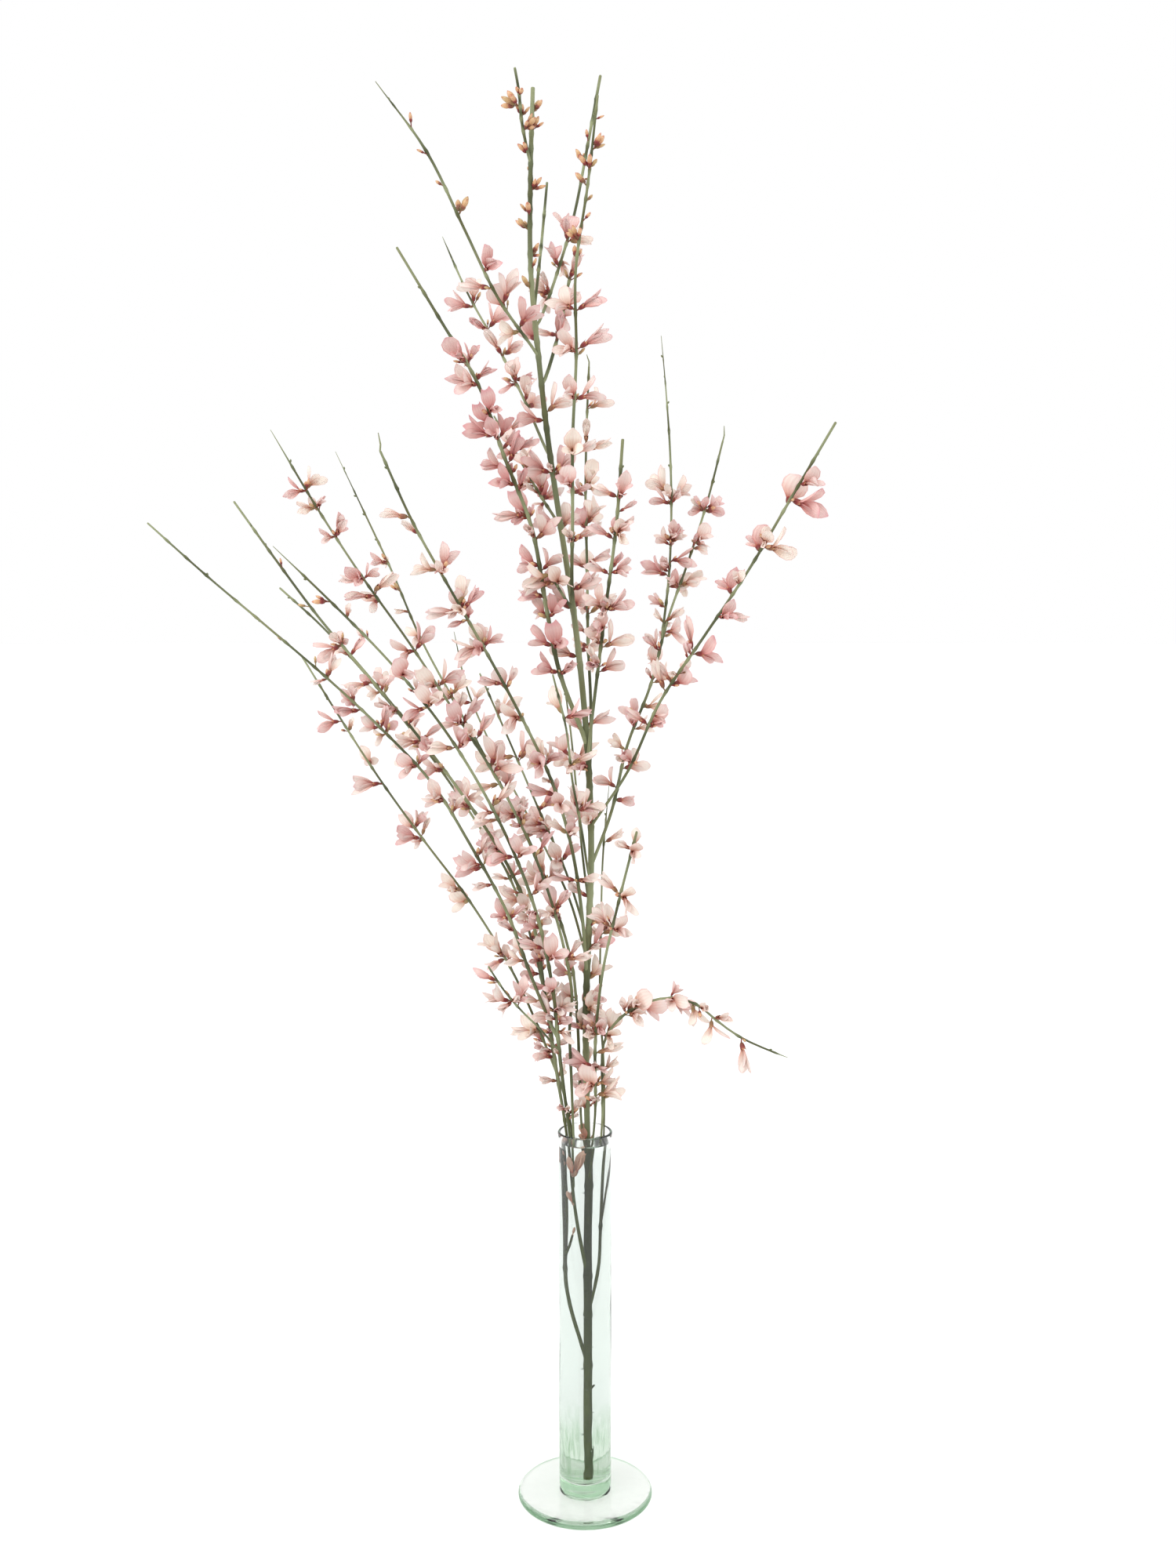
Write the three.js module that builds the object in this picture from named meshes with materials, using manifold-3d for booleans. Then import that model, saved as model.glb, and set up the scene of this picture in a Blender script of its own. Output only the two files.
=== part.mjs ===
// A flowering broom stem standing in a narrow glass vase of water.
// Millimetres, +Z up, origin at the centre of the underside of the vase's foot.
import * as THREE from "three";
import { mergeVertices } from "three/addons/utils/BufferGeometryUtils.js";
import Module from "manifold-3d";

// The vase: a disc foot, a solid base and a straight tube, all one piece of glass.
const VASE_HEIGHT = 200;
const FOOT_RADIUS = 35.8;
const FOOT_THICKNESS = 4.2;
const TUBE_RADIUS = 13.8;
const WALL = 2;
const RIM_FLARE = 0.5;
const BORE_FLOOR = 10.5;
const FLOOR_ROUNDING = 3;
const VASE_SIDES = 24;

// The water, with a clear film of space round it.
const WATER_LEVEL = 194;
const CLEARANCE = 0.35;

// Stems are four-sided, and one that is cut round another leaves this much more room at the corners.
const STEM_SIDES = 4;
const CORNER_CLEARANCE = 0.45;

// A stem follows a smooth curve in straight stretches of about this length.
const STEP_LENGTH = 42;
const FEWEST_STEPS = 4;
const CURVE_STEPS = 12;

// A flower at full size.
const STALK_LENGTH = 4.5;
const CALYX_RADIUS = 1.3;
const THROAT_DEPTH = 2.2;
const WING_LENGTH = 12.5;
const WING_HALF_WIDTH = 2.9;
const STANDARD_LENGTH = 11.5;
const STANDARD_HALF_WIDTH = 4.4;
const WING_TWIST = 0.8;
const WIDEST = 0.6;

// A bud at full size.
const BUD_LENGTH = 7;
const BUD_RADIUS = 1.35;
const BUD_STALK_LENGTH = 2.25;
const BUD_STALK_RADIUS = 0.56;
const BUD_WIDEST = 0.4;

// How flowers are set round a stem.
const GOLDEN_ANGLE = 2.39996;
const PER_CLUSTER = 2;
const TURNS_TRIED = [0, 0.8, -0.8, 1.6, -1.6, 2.4, -2.4, 3.1];
const SMALL_BLOOM = 0.8;
const ROOM_TO_OTHERS = 0.4;
const ROOM_TO_OWN = 0.1;
const REACH = 60;
const STEM_LINES = 16;
const SEED = 20;

// Each stem has its points from root to tip, its radius at both, and what it carries:
// flowers and buds, each as [from, to, how many], from and to as parts of the stem's length.
// The first stem of a spray grows from the node that "from" names, and the others from the first.
const SPRAYS = [
  { name: "main_stem", from: null, stems: [
    { points: [[1, 0, 11], [1, 0, 90], [1, 0, 165], [2, 1, 196], [0, 2, 242], [2, 3, 314], [3, 3, 366],
        [-2, 0, 438], [-8, -4, 485], [-16, -8, 537], [-21, -10, 577], [-25, -12, 617], [-27, -14, 653],
        [-25, -20, 720]],
      radii: [2.15, 0.95], flowers: [[0.28, 0.45, 15], [0.46, 0.85, 18]], buds: [[0.86, 0.99, 10]] },
    { points: [[-26, -17, 683], [-30, -25, 701], [-31, -32, 713], [-33, -35, 724]],
      radii: [0.7, 0.6], flowers: [], buds: [[0.3, 0.8, 4]] },
    { points: [[-25, -12, 617], [-22, 0, 648], [-19, 10, 684]],
      radii: [0.7, 0.6], flowers: [], buds: [[0.2, 0.4, 1]] },
    { points: [[-7, -3, 471], [-14, -12, 483], [-18, -20, 491]],
      radii: [0.7, 0.6], flowers: [[0.5, 0.95, 3]], buds: [] },
    { points: [[-21, -10, 578], [-13, 2, 609], [-10, 12, 628], [-5, 20, 649]],
      radii: [0.85, 0.6], flowers: [[0.25, 0.9, 5]], buds: [] },
  ] },
  { name: "left_fork_spray", from: "main_stem", stems: [
    { points: [[1, 0, 74], [-4, 1, 88], [-6, 2, 105], [-7, 2, 124], [-8, 3, 166], [-10, 3, 199],
        [-18, 5, 248], [-24, 7, 290], [-33, 10, 325], [-63, 17, 373], [-99, 25, 419], [-138, 33, 464],
        [-165, 40, 499], [-187, 45, 529]],
      radii: [1.45, 0.6], flowers: [[0.3, 0.828, 19]], buds: [[0.84, 0.93, 2]] },
    { points: [[-19, 6, 262], [-36, 24, 321], [-67, 46, 369], [-107, 70, 419], [-149, 92, 463],
        [-175, 105, 485]],
      radii: [0.95, 0.6], flowers: [[0.25, 0.85, 9]], buds: [[0.86, 0.95, 1]] },
  ] },
  { name: "left_back_fork_spray", from: "left_fork_spray", stems: [
    { points: [[-7, 2, 124], [-6, 5, 150], [-6, 7, 172], [-7, 7, 198], [-14, 10, 226], [-27, 13, 256],
        [-45, 20, 293], [-64, 28, 320], [-103, 43, 369], [-136, 58, 416], [-157, 70, 447]],
      radii: [0.95, 0.6], flowers: [[0.3, 0.93, 12]], buds: [] },
  ] },
  { name: "left_front_fork_spray", from: "main_stem", stems: [
    { points: [[1, 0, 123], [-3, -2, 136], [-4, -4, 152], [-5, -5, 170], [-8, -6, 199], [-14, -8, 249],
        [-19, -13, 295], [-32, -22, 341], [-52, -36, 386], [-78, -56, 429], [-109, -76, 466],
        [-139, -95, 498]],
      radii: [1.45, 0.6], flowers: [[0.1, 0.16, 3], [0.3, 0.85, 15]], buds: [[0.86, 0.95, 1]] },
    { points: [[-14, -8, 249], [-27, -11, 283], [-40, -14, 319], [-62, -16, 360], [-86, -17, 397],
        [-110, -18, 419], [-143, -20, 451], [-170, -22, 473], [-214, -25, 513]],
      radii: [1.1, 0.6], flowers: [[0.15, 0.65, 10]], buds: [[0.66, 0.76, 2]] },
    { points: [[-13, -8, 243], [-25, -20, 262], [-34, -33, 274], [-41, -42, 286], [-47, -50, 298]],
      radii: [0.7, 0.6], flowers: [[0.5, 0.95, 3]], buds: [] },
  ] },
  { name: "tall_left_front_spray", from: "main_stem", stems: [
    { points: [[0, 2, 241], [-6, -7, 273], [-16, -14, 320], [-34, -23, 369], [-55, -30, 406],
        [-84, -38, 453], [-117, -47, 502], [-147, -55, 554]],
      radii: [1.1, 0.6], flowers: [[0.12, 0.85, 19]], buds: [] },
  ] },
  { name: "tall_left_back_spray", from: "main_stem", stems: [
    { points: [[0, 2, 251], [-3, 6, 270], [-15, 14, 315], [-36, 27, 363], [-62, 40, 408], [-90, 54, 458],
        [-106, 63, 494], [-138, 80, 559]],
      radii: [1.1, 0.6], flowers: [[0.12, 0.7, 13]], buds: [[0.71, 0.78, 1]] },
  ] },
  { name: "middle_left_spray", from: "main_stem", stems: [
    { points: [[1, 2, 280], [-1, -3, 310], [-7, -12, 352], [-19, -24, 392], [-42, -42, 440],
        [-67, -62, 487], [-84, -76, 520], [-92, -85, 541]],
      radii: [1.2, 0.6], flowers: [[0.15, 0.92, 19]], buds: [] },
  ] },
  { name: "thin_back_spray", from: "main_stem", stems: [
    { points: [[1, 2, 290], [-4, 12, 310], [-20, 32, 342], [-46, 62, 386], [-65, 82, 424], [-75, 100, 460]],
      radii: [0.85, 0.6], flowers: [[0.25, 0.85, 6]], buds: [] },
  ] },
  { name: "inner_left_spray", from: "main_stem", stems: [
    { points: [[2, 3, 300], [-7, 9, 328], [-23, 18, 364], [-38, 26, 398], [-56, 35, 438]],
      radii: [0.85, 0.6], flowers: [[0.2, 0.93, 7]], buds: [] },
  ] },
  { name: "inner_back_spray", from: "main_stem", stems: [
    { points: [[2, 3, 317], [-1, 13, 340], [-5, 27, 380], [-9, 39, 418], [-12, 45, 437]],
      radii: [0.85, 0.6], flowers: [[0.25, 0.95, 5]], buds: [] },
  ] },
  { name: "inner_front_spray", from: "main_stem", stems: [
    { points: [[2, 3, 330], [0, -8, 350], [-6, -28, 385], [-10, -52, 421], [-15, -65, 440]],
      radii: [0.85, 0.6], flowers: [[0.25, 0.95, 6]], buds: [] },
  ] },
  { name: "back_right_spray", from: "main_stem", stems: [
    { points: [[2, 3, 336], [10, 12, 351], [22, 28, 399], [37, 42, 437], [41, 47, 456], [51, 56, 484],
        [63, 68, 518], [72, 76, 549], [76, 80, 565]],
      radii: [1.1, 0.6], flowers: [[0.12, 0.88, 15]], buds: [] },
    { points: [[41, 47, 456], [45, 56, 485], [47, 66, 535], [45, 78, 583], [42, 88, 623]],
      radii: [0.85, 0.6], flowers: [[0.1, 0.55, 4]], buds: [] },
  ] },
  { name: "front_right_spray", from: "main_stem", stems: [
    { points: [[3, 3, 360], [21, -14, 389], [36, -28, 424], [60, -46, 462], [83, -64, 499],
        [97, -78, 526], [112, -90, 553]],
      radii: [0.95, 0.7], flowers: [[0.2, 0.87, 12]], buds: [] },
  ] },
  { name: "upper_back_spray", from: "main_stem", stems: [
    { points: [[2, 3, 380], [3, 10, 425], [1, 18, 466], [1, 30, 500], [0, 44, 539], [1, 54, 575],
        [2, 60, 602]],
      radii: [1.1, 0.7], flowers: [[0.25, 0.96, 13]], buds: [] },
  ] },
  { name: "upper_right_spray", from: "main_stem", stems: [
    { points: [[1, 2, 394], [6, -14, 437], [11, -28, 478], [15, -36, 509], [18, -45, 551]],
      radii: [1.1, 0.85], flowers: [[0.25, 0.86, 12]], buds: [] },
  ] },
  { name: "dense_left_spray", from: "main_stem", stems: [
    { points: [[1, 1, 404], [-14, -6, 443], [-19, -10, 470], [-26, -14, 510], [-38, -18, 540],
        [-47, -24, 574], [-57, -26, 584], [-70, -28, 610], [-90, -30, 643]],
      radii: [1.55, 0.7], flowers: [[0.12, 0.78, 26]], buds: [] },
  ] },
  { name: "crown_front_spray", from: "main_stem", stems: [
    { points: [[-2, 0, 442], [-6, -11, 470], [-6, -24, 519], [-6, -30, 549], [-4, -38, 593],
        [-4, -42, 635], [2, -48, 671], [6, -55, 705]],
      radii: [1.2, 0.7], flowers: [[0.12, 0.7, 14]], buds: [[0.72, 0.93, 7]] },
  ] },
  { name: "short_left_spray", from: "main_stem", stems: [
    { points: [[-13, -7, 514], [-21, 4, 526], [-34, 26, 549], [-48, 40, 573]],
      radii: [0.95, 0.6], flowers: [[0.2, 0.95, 7]], buds: [] },
  ] },
  { name: "upper_left_spray", from: "main_stem", stems: [
    { points: [[-17, -8, 544], [-26, 4, 566], [-32, 18, 580], [-43, 34, 603], [-60, 52, 634], [-77, 70, 672]],
      radii: [0.95, 0.6], flowers: [[0.2, 0.75, 10]], buds: [] },
  ] },
  { name: "crown_left_spray", from: "main_stem", stems: [
    { points: [[-23, -11, 596], [-32, -22, 604], [-49, -40, 632], [-68, -56, 672], [-79, -62, 686],
        [-94, -70, 706]],
      radii: [0.95, 0.6], flowers: [[0.06, 0.35, 6]], buds: [[0.5, 0.9, 4]] },
  ] },
  { name: "crown_back_spray", from: "main_stem", stems: [
    { points: [[-24, -11, 606], [-17, 2, 629], [-7, 25, 666], [1, 40, 709], [8, 50, 749]],
      radii: [0.95, 0.7], flowers: [[0.1, 0.45, 6]], buds: [[0.6, 0.95, 5]] },
  ] },
  { name: "low_right_spray", from: "main_stem", stems: [
    { points: [[1, 0, 171], [5, -5, 192], [5, -8, 220], [5, -11, 245], [7, -16, 271], [12, -28, 310],
        [21, -42, 342], [25, -50, 364]],
      radii: [1.1, 0.6], flowers: [[0.2, 0.4, 4], [0.68, 0.97, 5]], buds: [] },
  ] },
  { name: "arching_spray", from: "main_stem", stems: [
    { points: [[1, 0, 104], [5, 0, 125], [6, 0, 150], [7, 0, 180], [9, -1, 205], [9, -2, 228],
        [9, -4, 245], [14, -10, 258], [23, -16, 268], [38, -24, 276], [53, -31, 276], [65, -36, 268],
        [79, -40, 259], [100, -44, 251]],
      radii: [1.3, 0.6], steps: 20, flowers: [[0.5, 0.93, 15]], buds: [] },
  ] },
  { name: "thin_right_spray", from: "arching_spray", stems: [
    { points: [[6, 0, 150], [8, 3, 175], [10, 4, 196], [10, 6, 229], [8, 11, 251], [8, 22, 289],
        [9, 30, 317], [10, 40, 348], [13, 50, 377]],
      radii: [0.85, 0.6], flowers: [[0.5, 0.95, 3]], buds: [] },
  ] },
];

// The finish of each piece.
const GLASS = { color: 0xcfe3d3, roughness: 0.05, metalness: 0, transparent: true, opacity: 0.4 };
const WATER = { color: 0xe6f0ea, roughness: 0.02, metalness: 0, transparent: true, opacity: 0.3 };
const STEM = { color: 0x5e7048, roughness: 0.6, metalness: 0 };
const BLOSSOM = { color: 0xe9b3ae, roughness: 0.7, metalness: 0 };

const wasm = await Module();
wasm.setup();

// A small seeded generator of numbers from 0 to 1.
function seeded(seed) {
  let state = seed >>> 0;
  return () => {
    state = (state + 0x6d2b79f5) >>> 0;
    let t = state;
    t = Math.imul(t ^ (t >>> 15), t | 1);
    t ^= t + Math.imul(t ^ (t >>> 7), t | 61);
    return ((t ^ (t >>> 14)) >>> 0) / 4294967296;
  };
}

// A geometry as a solid, with each vertex first moved by a rule.
function solidOf(geometry, move) {
  const bare = geometry.clone();
  bare.deleteAttribute("normal");
  bare.deleteAttribute("uv");
  const position = bare.getAttribute("position");
  const vertex = new THREE.Vector3();
  for (let i = 0; i < position.count; i += 1) {
    vertex.fromBufferAttribute(position, i);
    if (move) vertex.copy(move(vertex));
    position.setXYZ(i, vertex.x, vertex.y, vertex.z);
  }
  const merged = mergeVertices(bare, 1e-4);
  return new wasm.Manifold(new wasm.Mesh({
    numProp: 3,
    vertProperties: merged.getAttribute("position").array,
    triVerts: new Uint32Array(merged.index.array),
  }));
}

// A solid as a geometry.
function geometryOf(solid) {
  const mesh = solid.getMesh();
  const geometry = new THREE.BufferGeometry();
  geometry.setAttribute("position", new THREE.BufferAttribute(mesh.vertProperties, 3));
  geometry.setIndex(new THREE.BufferAttribute(mesh.triVerts, 1));
  return geometry;
}

// The largest body of a solid, without loose scraps and without corners a hair apart.
const HAIR = 0.004;

function largestOf(solid) {
  return solid.decompose().reduce((a, b) => (a.volume() > b.volume() ? a : b)).simplify(HAIR);
}

// A stem's path: evenly spaced points on a smooth curve, joined by straight stretches.
function pathOf(stem) {
  const corners = stem.points.map((p) => new THREE.Vector3(...p));
  const curve = new THREE.CatmullRomCurve3(corners, false, "catmullrom", 0.5);
  const smooth = measured(curve.getPoints((corners.length - 1) * CURVE_STEPS));
  const steps = stem.steps ?? Math.max(FEWEST_STEPS, Math.ceil(smooth.total / STEP_LENGTH));
  const points = Array.from({ length: steps + 1 }, (_, i) => placeOn(smooth, i / steps).point);
  return { ...measured(points), radii: stem.radii, steps };
}

// Points with the length up to each.
function measured(points) {
  const lengths = [0];
  for (let i = 1; i < points.length; i += 1) {
    lengths.push(lengths[i - 1] + points[i].distanceTo(points[i - 1]));
  }
  return { points, lengths, total: lengths[lengths.length - 1], radii: [1, 1] };
}

// The place at a part of a path's length: its point, its radius, the way along and two ways across.
function placeOn(path, part) {
  const { points, lengths, total, radii } = path;
  const wanted = part * total;
  let i = 1;
  while (i < points.length - 1 && lengths[i] < wanted) i += 1;
  const share = (wanted - lengths[i - 1]) / (lengths[i] - lengths[i - 1]);
  const point = points[i - 1].clone().lerp(points[i], share);
  const along = points[i].clone().sub(points[i - 1]).normalize();
  const side = along.clone().cross(new THREE.Vector3(0, 1, 0)).normalize();
  const other = side.clone().cross(along);
  const radius = radii[0] + (radii[1] - radii[0]) * part;
  return { point, along, side, other, radius };
}

// A stem's solid: a cylinder laid along the path, thinner towards its tip.
function stemSolid(path, swell) {
  const rod = new THREE.CylinderGeometry(1, 1, 1, STEM_SIDES, path.steps);
  return solidOf(rod, (vertex) => {
    const place = placeOn(path, Math.round((vertex.y + 0.5) * path.steps) / path.steps);
    const reach = place.radius + swell;
    const end = Math.sign(vertex.y) * (Math.abs(vertex.y) > 0.499 ? swell : 0);
    return place.point.clone()
      .addScaledVector(place.along, end)
      .addScaledVector(place.side, vertex.x * reach)
      .addScaledVector(place.other, vertex.z * reach);
  });
}

// A flower's place and directions, before its solid is made.
function flowerFrame(path, part, turn, draws, size) {
  const place = placeOn(path, part);
  const out = place.side.clone().multiplyScalar(Math.cos(turn))
    .addScaledVector(place.other, Math.sin(turn));
  const root = place.point.clone().addScaledVector(out, -0.5 * place.radius);
  const leaving = out.clone().addScaledVector(place.along, 0.6).normalize();
  const heart = root.clone().addScaledVector(leaving, STALK_LENGTH * size + 0.6 * place.radius);
  const lift = 0.1 + 0.6 * draws.lift;
  const forward = out.clone().multiplyScalar(Math.cos(lift))
    .addScaledVector(place.along, Math.sin(lift));
  const rise = place.along.clone().multiplyScalar(Math.cos(lift))
    .addScaledVector(out, -Math.sin(lift));
  const across = forward.clone().cross(rise);
  const open = 0.5 + 0.45 * draws.open;
  const standard = forward.clone().multiplyScalar(Math.cos(open)).addScaledVector(rise, Math.sin(open));
  const sink = 0.35 * draws.sink;
  const keel = forward.clone().multiplyScalar(Math.cos(sink)).addScaledVector(rise, -Math.sin(sink));
  const keelRise = rise.clone().multiplyScalar(Math.cos(sink)).addScaledVector(forward, Math.sin(sink));
  const spread = 0.5 + 0.8 * draws.spread;
  return { root, out, leaving, heart, forward, rise, across, standard, keel, keelRise, spread, size,
    stemRadius: place.radius };
}

// The lines that a flower fills, each with the room round it, to keep it clear of others.
function flowerLines(f) {
  const start = f.root.clone().addScaledVector(f.leaving, 1.7 * f.stemRadius + 1);
  const lines = [{ from: start, to: f.heart, room: 1 }];
  for (const petal of petalsOf(f, 0)) {
    const at = (along, sideways) => f.heart.clone()
      .addScaledVector(petal.way, along * petal.length)
      .addScaledVector(petal.across, sideways * petal.half);
    lines.push({ from: f.heart, to: at(1, 0), room: 1.6 });
    lines.push({ from: f.heart, to: at(0.75, 0.75), room: 1.2 });
    lines.push({ from: f.heart, to: at(0.75, -0.75), room: 1.2 });
  }
  return lines;
}

function budFrame(path, part, turn, draws, size) {
  const place = placeOn(path, part);
  const out = place.side.clone().multiplyScalar(Math.cos(turn))
    .addScaledVector(place.other, Math.sin(turn));
  const root = place.point.clone().addScaledVector(out, 0.4 * place.radius);
  const lift = 0.5 + 0.5 * draws.lift;
  const forward = out.clone().multiplyScalar(Math.cos(lift)).addScaledVector(place.along, Math.sin(lift));
  const rise = place.along.clone().multiplyScalar(Math.cos(lift)).addScaledVector(out, -Math.sin(lift));
  const across = forward.clone().cross(rise);
  return { root, forward, rise, across, size, stemRadius: place.radius, bud: true };
}

function budLines(f) {
  const start = f.root.clone().addScaledVector(f.forward, 1.2 * f.stemRadius + 1);
  const tip = f.root.clone().addScaledVector(f.forward, (BUD_STALK_LENGTH + BUD_LENGTH) * f.size);
  return [{ from: start, to: tip, room: 1.4 }];
}

// The distance between two lines, less the room round each.
function gapBetween(a, b) {
  const d1 = a.to.clone().sub(a.from);
  const d2 = b.to.clone().sub(b.from);
  const r = a.from.clone().sub(b.from);
  const aa = d1.dot(d1);
  const ee = d2.dot(d2);
  const f = d2.dot(r);
  const c = d1.dot(r);
  const bb = d1.dot(d2);
  const denominator = aa * ee - bb * bb;
  let s = denominator > 1e-9 ? THREE.MathUtils.clamp((bb * f - c * ee) / denominator, 0, 1) : 0;
  let t = (bb * s + f) / ee;
  if (t < 0) {
    t = 0;
    s = THREE.MathUtils.clamp(-c / aa, 0, 1);
  } else if (t > 1) {
    t = 1;
    s = THREE.MathUtils.clamp((bb - c) / aa, 0, 1);
  }
  const p = a.from.clone().addScaledVector(d1, s);
  const q = b.from.clone().addScaledVector(d2, t);
  return p.distanceTo(q) - a.room - b.room;
}

// Whether lines near the vase stay inside its bore.
function insideBore(lines) {
  const boreRoom = TUBE_RADIUS - WALL - CLEARANCE;
  return lines.every((line) => [line.from, line.to].every(
    (p) => p.z > VASE_HEIGHT + 3 || Math.hypot(p.x, p.y) + 0.7 * line.room < boreRoom));
}

// The lines of every stem, to keep flowers of other sprays off them.
function stemLines(path, spray) {
  const lines = [];
  for (let i = 0; i < STEM_LINES; i += 1) {
    const a = placeOn(path, i / STEM_LINES);
    const b = placeOn(path, (i + 1) / STEM_LINES);
    lines.push({ from: a.point, to: b.point, room: a.radius, spray });
  }
  return lines;
}

const plants = SPRAYS.map((spray) => ({ ...spray, paths: spray.stems.map(pathOf), grown: [] }));
const taken = plants.flatMap((spray) => spray.paths.flatMap((path) => stemLines(path, spray.name)));

// The smallest gap from some lines to what is taken, in other sprays and in their own.
function gaps(lines, spray) {
  let others = Infinity;
  let own = Infinity;
  for (const line of lines) {
    for (const there of taken) {
      if (line.from.distanceTo(there.from) > REACH && line.from.distanceTo(there.to) > REACH) continue;
      if (there.spray !== spray) others = Math.min(others, gapBetween(line, there));
      else if (there.grown) own = Math.min(own, gapBetween(line, there));
    }
  }
  return { others, own };
}

// Sets one flower or bud, turned round the stem until it is clear, and smaller if it has to be.
function grow(plant, path, part, turn, draws, kind) {
  const frameOf = kind === "bud" ? budFrame : flowerFrame;
  const linesOf = kind === "bud" ? budLines : flowerLines;
  const size = 0.88 + 0.24 * draws.size;
  let fallback = null;
  for (const scale of [size, SMALL_BLOOM * size]) {
    for (const more of TURNS_TRIED) {
      const frame = frameOf(path, part, turn + more, draws, scale);
      const lines = linesOf(frame);
      if (!insideBore(lines)) continue;
      const { others, own } = gaps(lines, plant.name);
      if (others < ROOM_TO_OTHERS) continue;
      if (own >= ROOM_TO_OWN) {
        fallback = { frame, lines };
        break;
      }
      if (!fallback) fallback = { frame, lines };
    }
    if (fallback) break;
  }
  if (!fallback) return;
  plant.grown.push(fallback.frame);
  fallback.lines.forEach((line) => taken.push({ ...line, spray: plant.name, grown: true }));
}

// Sets a run of flowers in clusters, or of buds one by one, along part of a stem.
function growRun(plant, path, [from, to, count], kind, random) {
  const perCluster = kind === "bud" ? 1 : PER_CLUSTER;
  const clusters = Math.max(1, Math.round(count / perCluster));
  const start = 2 * Math.PI * random();
  for (let i = 0; i < count; i += 1) {
    const cluster = Math.floor((i * clusters) / count);
    const draws = { lift: random(), open: random(), sink: random(), spread: random(),
      size: random(), shift: random() };
    const part = from + ((to - from) * (cluster + 0.3 + 0.4 * draws.shift)) / clusters;
    const turn = start + cluster * GOLDEN_ANGLE + i * 2.1;
    grow(plant, path, part, turn, draws, kind);
  }
}

// A petal of a flower: its length, half its width, how far along it is widest, and its way out of the calyx.
function petalsOf(f, swell) {
  const standard = { way: f.standard, across: f.across,
    length: STANDARD_LENGTH * f.size + swell, half: STANDARD_HALF_WIDTH * f.size + swell };
  const wings = [0.5 * f.spread, -0.5 * f.spread].map((spread) => ({
    way: f.keel.clone().addScaledVector(f.across, spread).normalize(),
    across: f.across.clone().addScaledVector(f.keel, -spread)
      .addScaledVector(f.keelRise, Math.sign(spread) * WING_TWIST).normalize(),
    length: WING_LENGTH * f.size + swell,
    half: WING_HALF_WIDTH * f.size + swell,
  }));
  return [standard, ...wings];
}

// A flower in one closed skin: a three-sided stalk that widens to the calyx, and a petal on each side.
// A petal has a five-cornered outline, and a face that runs down into the throat.
function flowerSolid(f, swell) {
  const points = [];
  const faces = [];
  const add = (p) => points.push(p) - 1;
  const ring = (middle, radius) => [0, 1, 2].map((k) => {
    const angle = (k * 2 * Math.PI) / 3 + Math.PI / 6;
    return add(middle.clone()
      .addScaledVector(f.across, -radius * Math.cos(angle))
      .addScaledVector(f.rise, radius * Math.sin(angle)));
  });
  const foot = add(f.root.clone().addScaledVector(f.leaving, -swell));
  const calyx = ring(f.heart, CALYX_RADIUS + swell);
  const throat = add(f.heart.clone().addScaledVector(f.forward, THROAT_DEPTH));
  petalsOf(f, swell).forEach((petal, k) => {
    const near = calyx[k];
    const far = calyx[(k + 1) % 3];
    faces.push([foot, far, near]);
    const at = (along, sideways) => f.heart.clone()
      .addScaledVector(petal.way, along * petal.length)
      .addScaledVector(petal.across, sideways * petal.half);
    const right = add(at(WIDEST, 1));
    const left = add(at(WIDEST, -1));
    const tip = add(at(1, 0));
    const [first, second] = petalSides(points, near, far, right, left);
    faces.push([near, far, tip], [far, second, tip], [tip, first, near], [throat, near, first],
      [throat, first, tip], [throat, tip, second], [throat, second, far]);
  });
  return closedSolid(points, faces);
}

// Of a petal's two widest points, the one on the side of its near calyx corner comes first.
function petalSides(points, near, far, a, b) {
  const along = points[far].clone().sub(points[near]);
  return along.dot(points[a].clone().sub(points[b])) < 0 ? [a, b] : [b, a];
}

// A solid from its corners and its three-cornered faces.
function closedSolid(points, faces) {
  return new wasm.Manifold(new wasm.Mesh({
    numProp: 3,
    vertProperties: new Float32Array(points.flatMap((p) => p.toArray())),
    triVerts: new Uint32Array(faces.flat()),
  }));
}

// A bud on its short stalk: a three-sided spindle.
const BUD_ROD = new THREE.CylinderGeometry(0, 1, 1, 3, 2);

function budSolid(f, swell) {
  const stalk = BUD_STALK_LENGTH * f.size;
  const reach = stalk + BUD_LENGTH * f.size + swell;
  const middles = [
    f.root.clone().addScaledVector(f.forward, reach),
    f.root.clone().addScaledVector(f.forward, stalk + BUD_WIDEST * BUD_LENGTH * f.size),
    f.root,
  ];
  const radii = [0, BUD_RADIUS * f.size + swell, BUD_STALK_RADIUS + swell];
  return solidOf(BUD_ROD, (vertex) => {
    const row = Math.round((0.5 - vertex.y) * 2);
    const angle = Math.atan2(vertex.x, vertex.z);
    const round = row === 0 || Math.hypot(vertex.x, vertex.z) < 1e-6 ? 0 : 1;
    return middles[row].clone()
      .addScaledVector(f.across, round * radii[row] * Math.sin(angle))
      .addScaledVector(f.rise, round * radii[row] * Math.cos(angle));
  });
}

function grownSolids(f, swell) {
  return [f.bud ? budSolid(f, swell) : flowerSolid(f, swell)];
}

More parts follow.
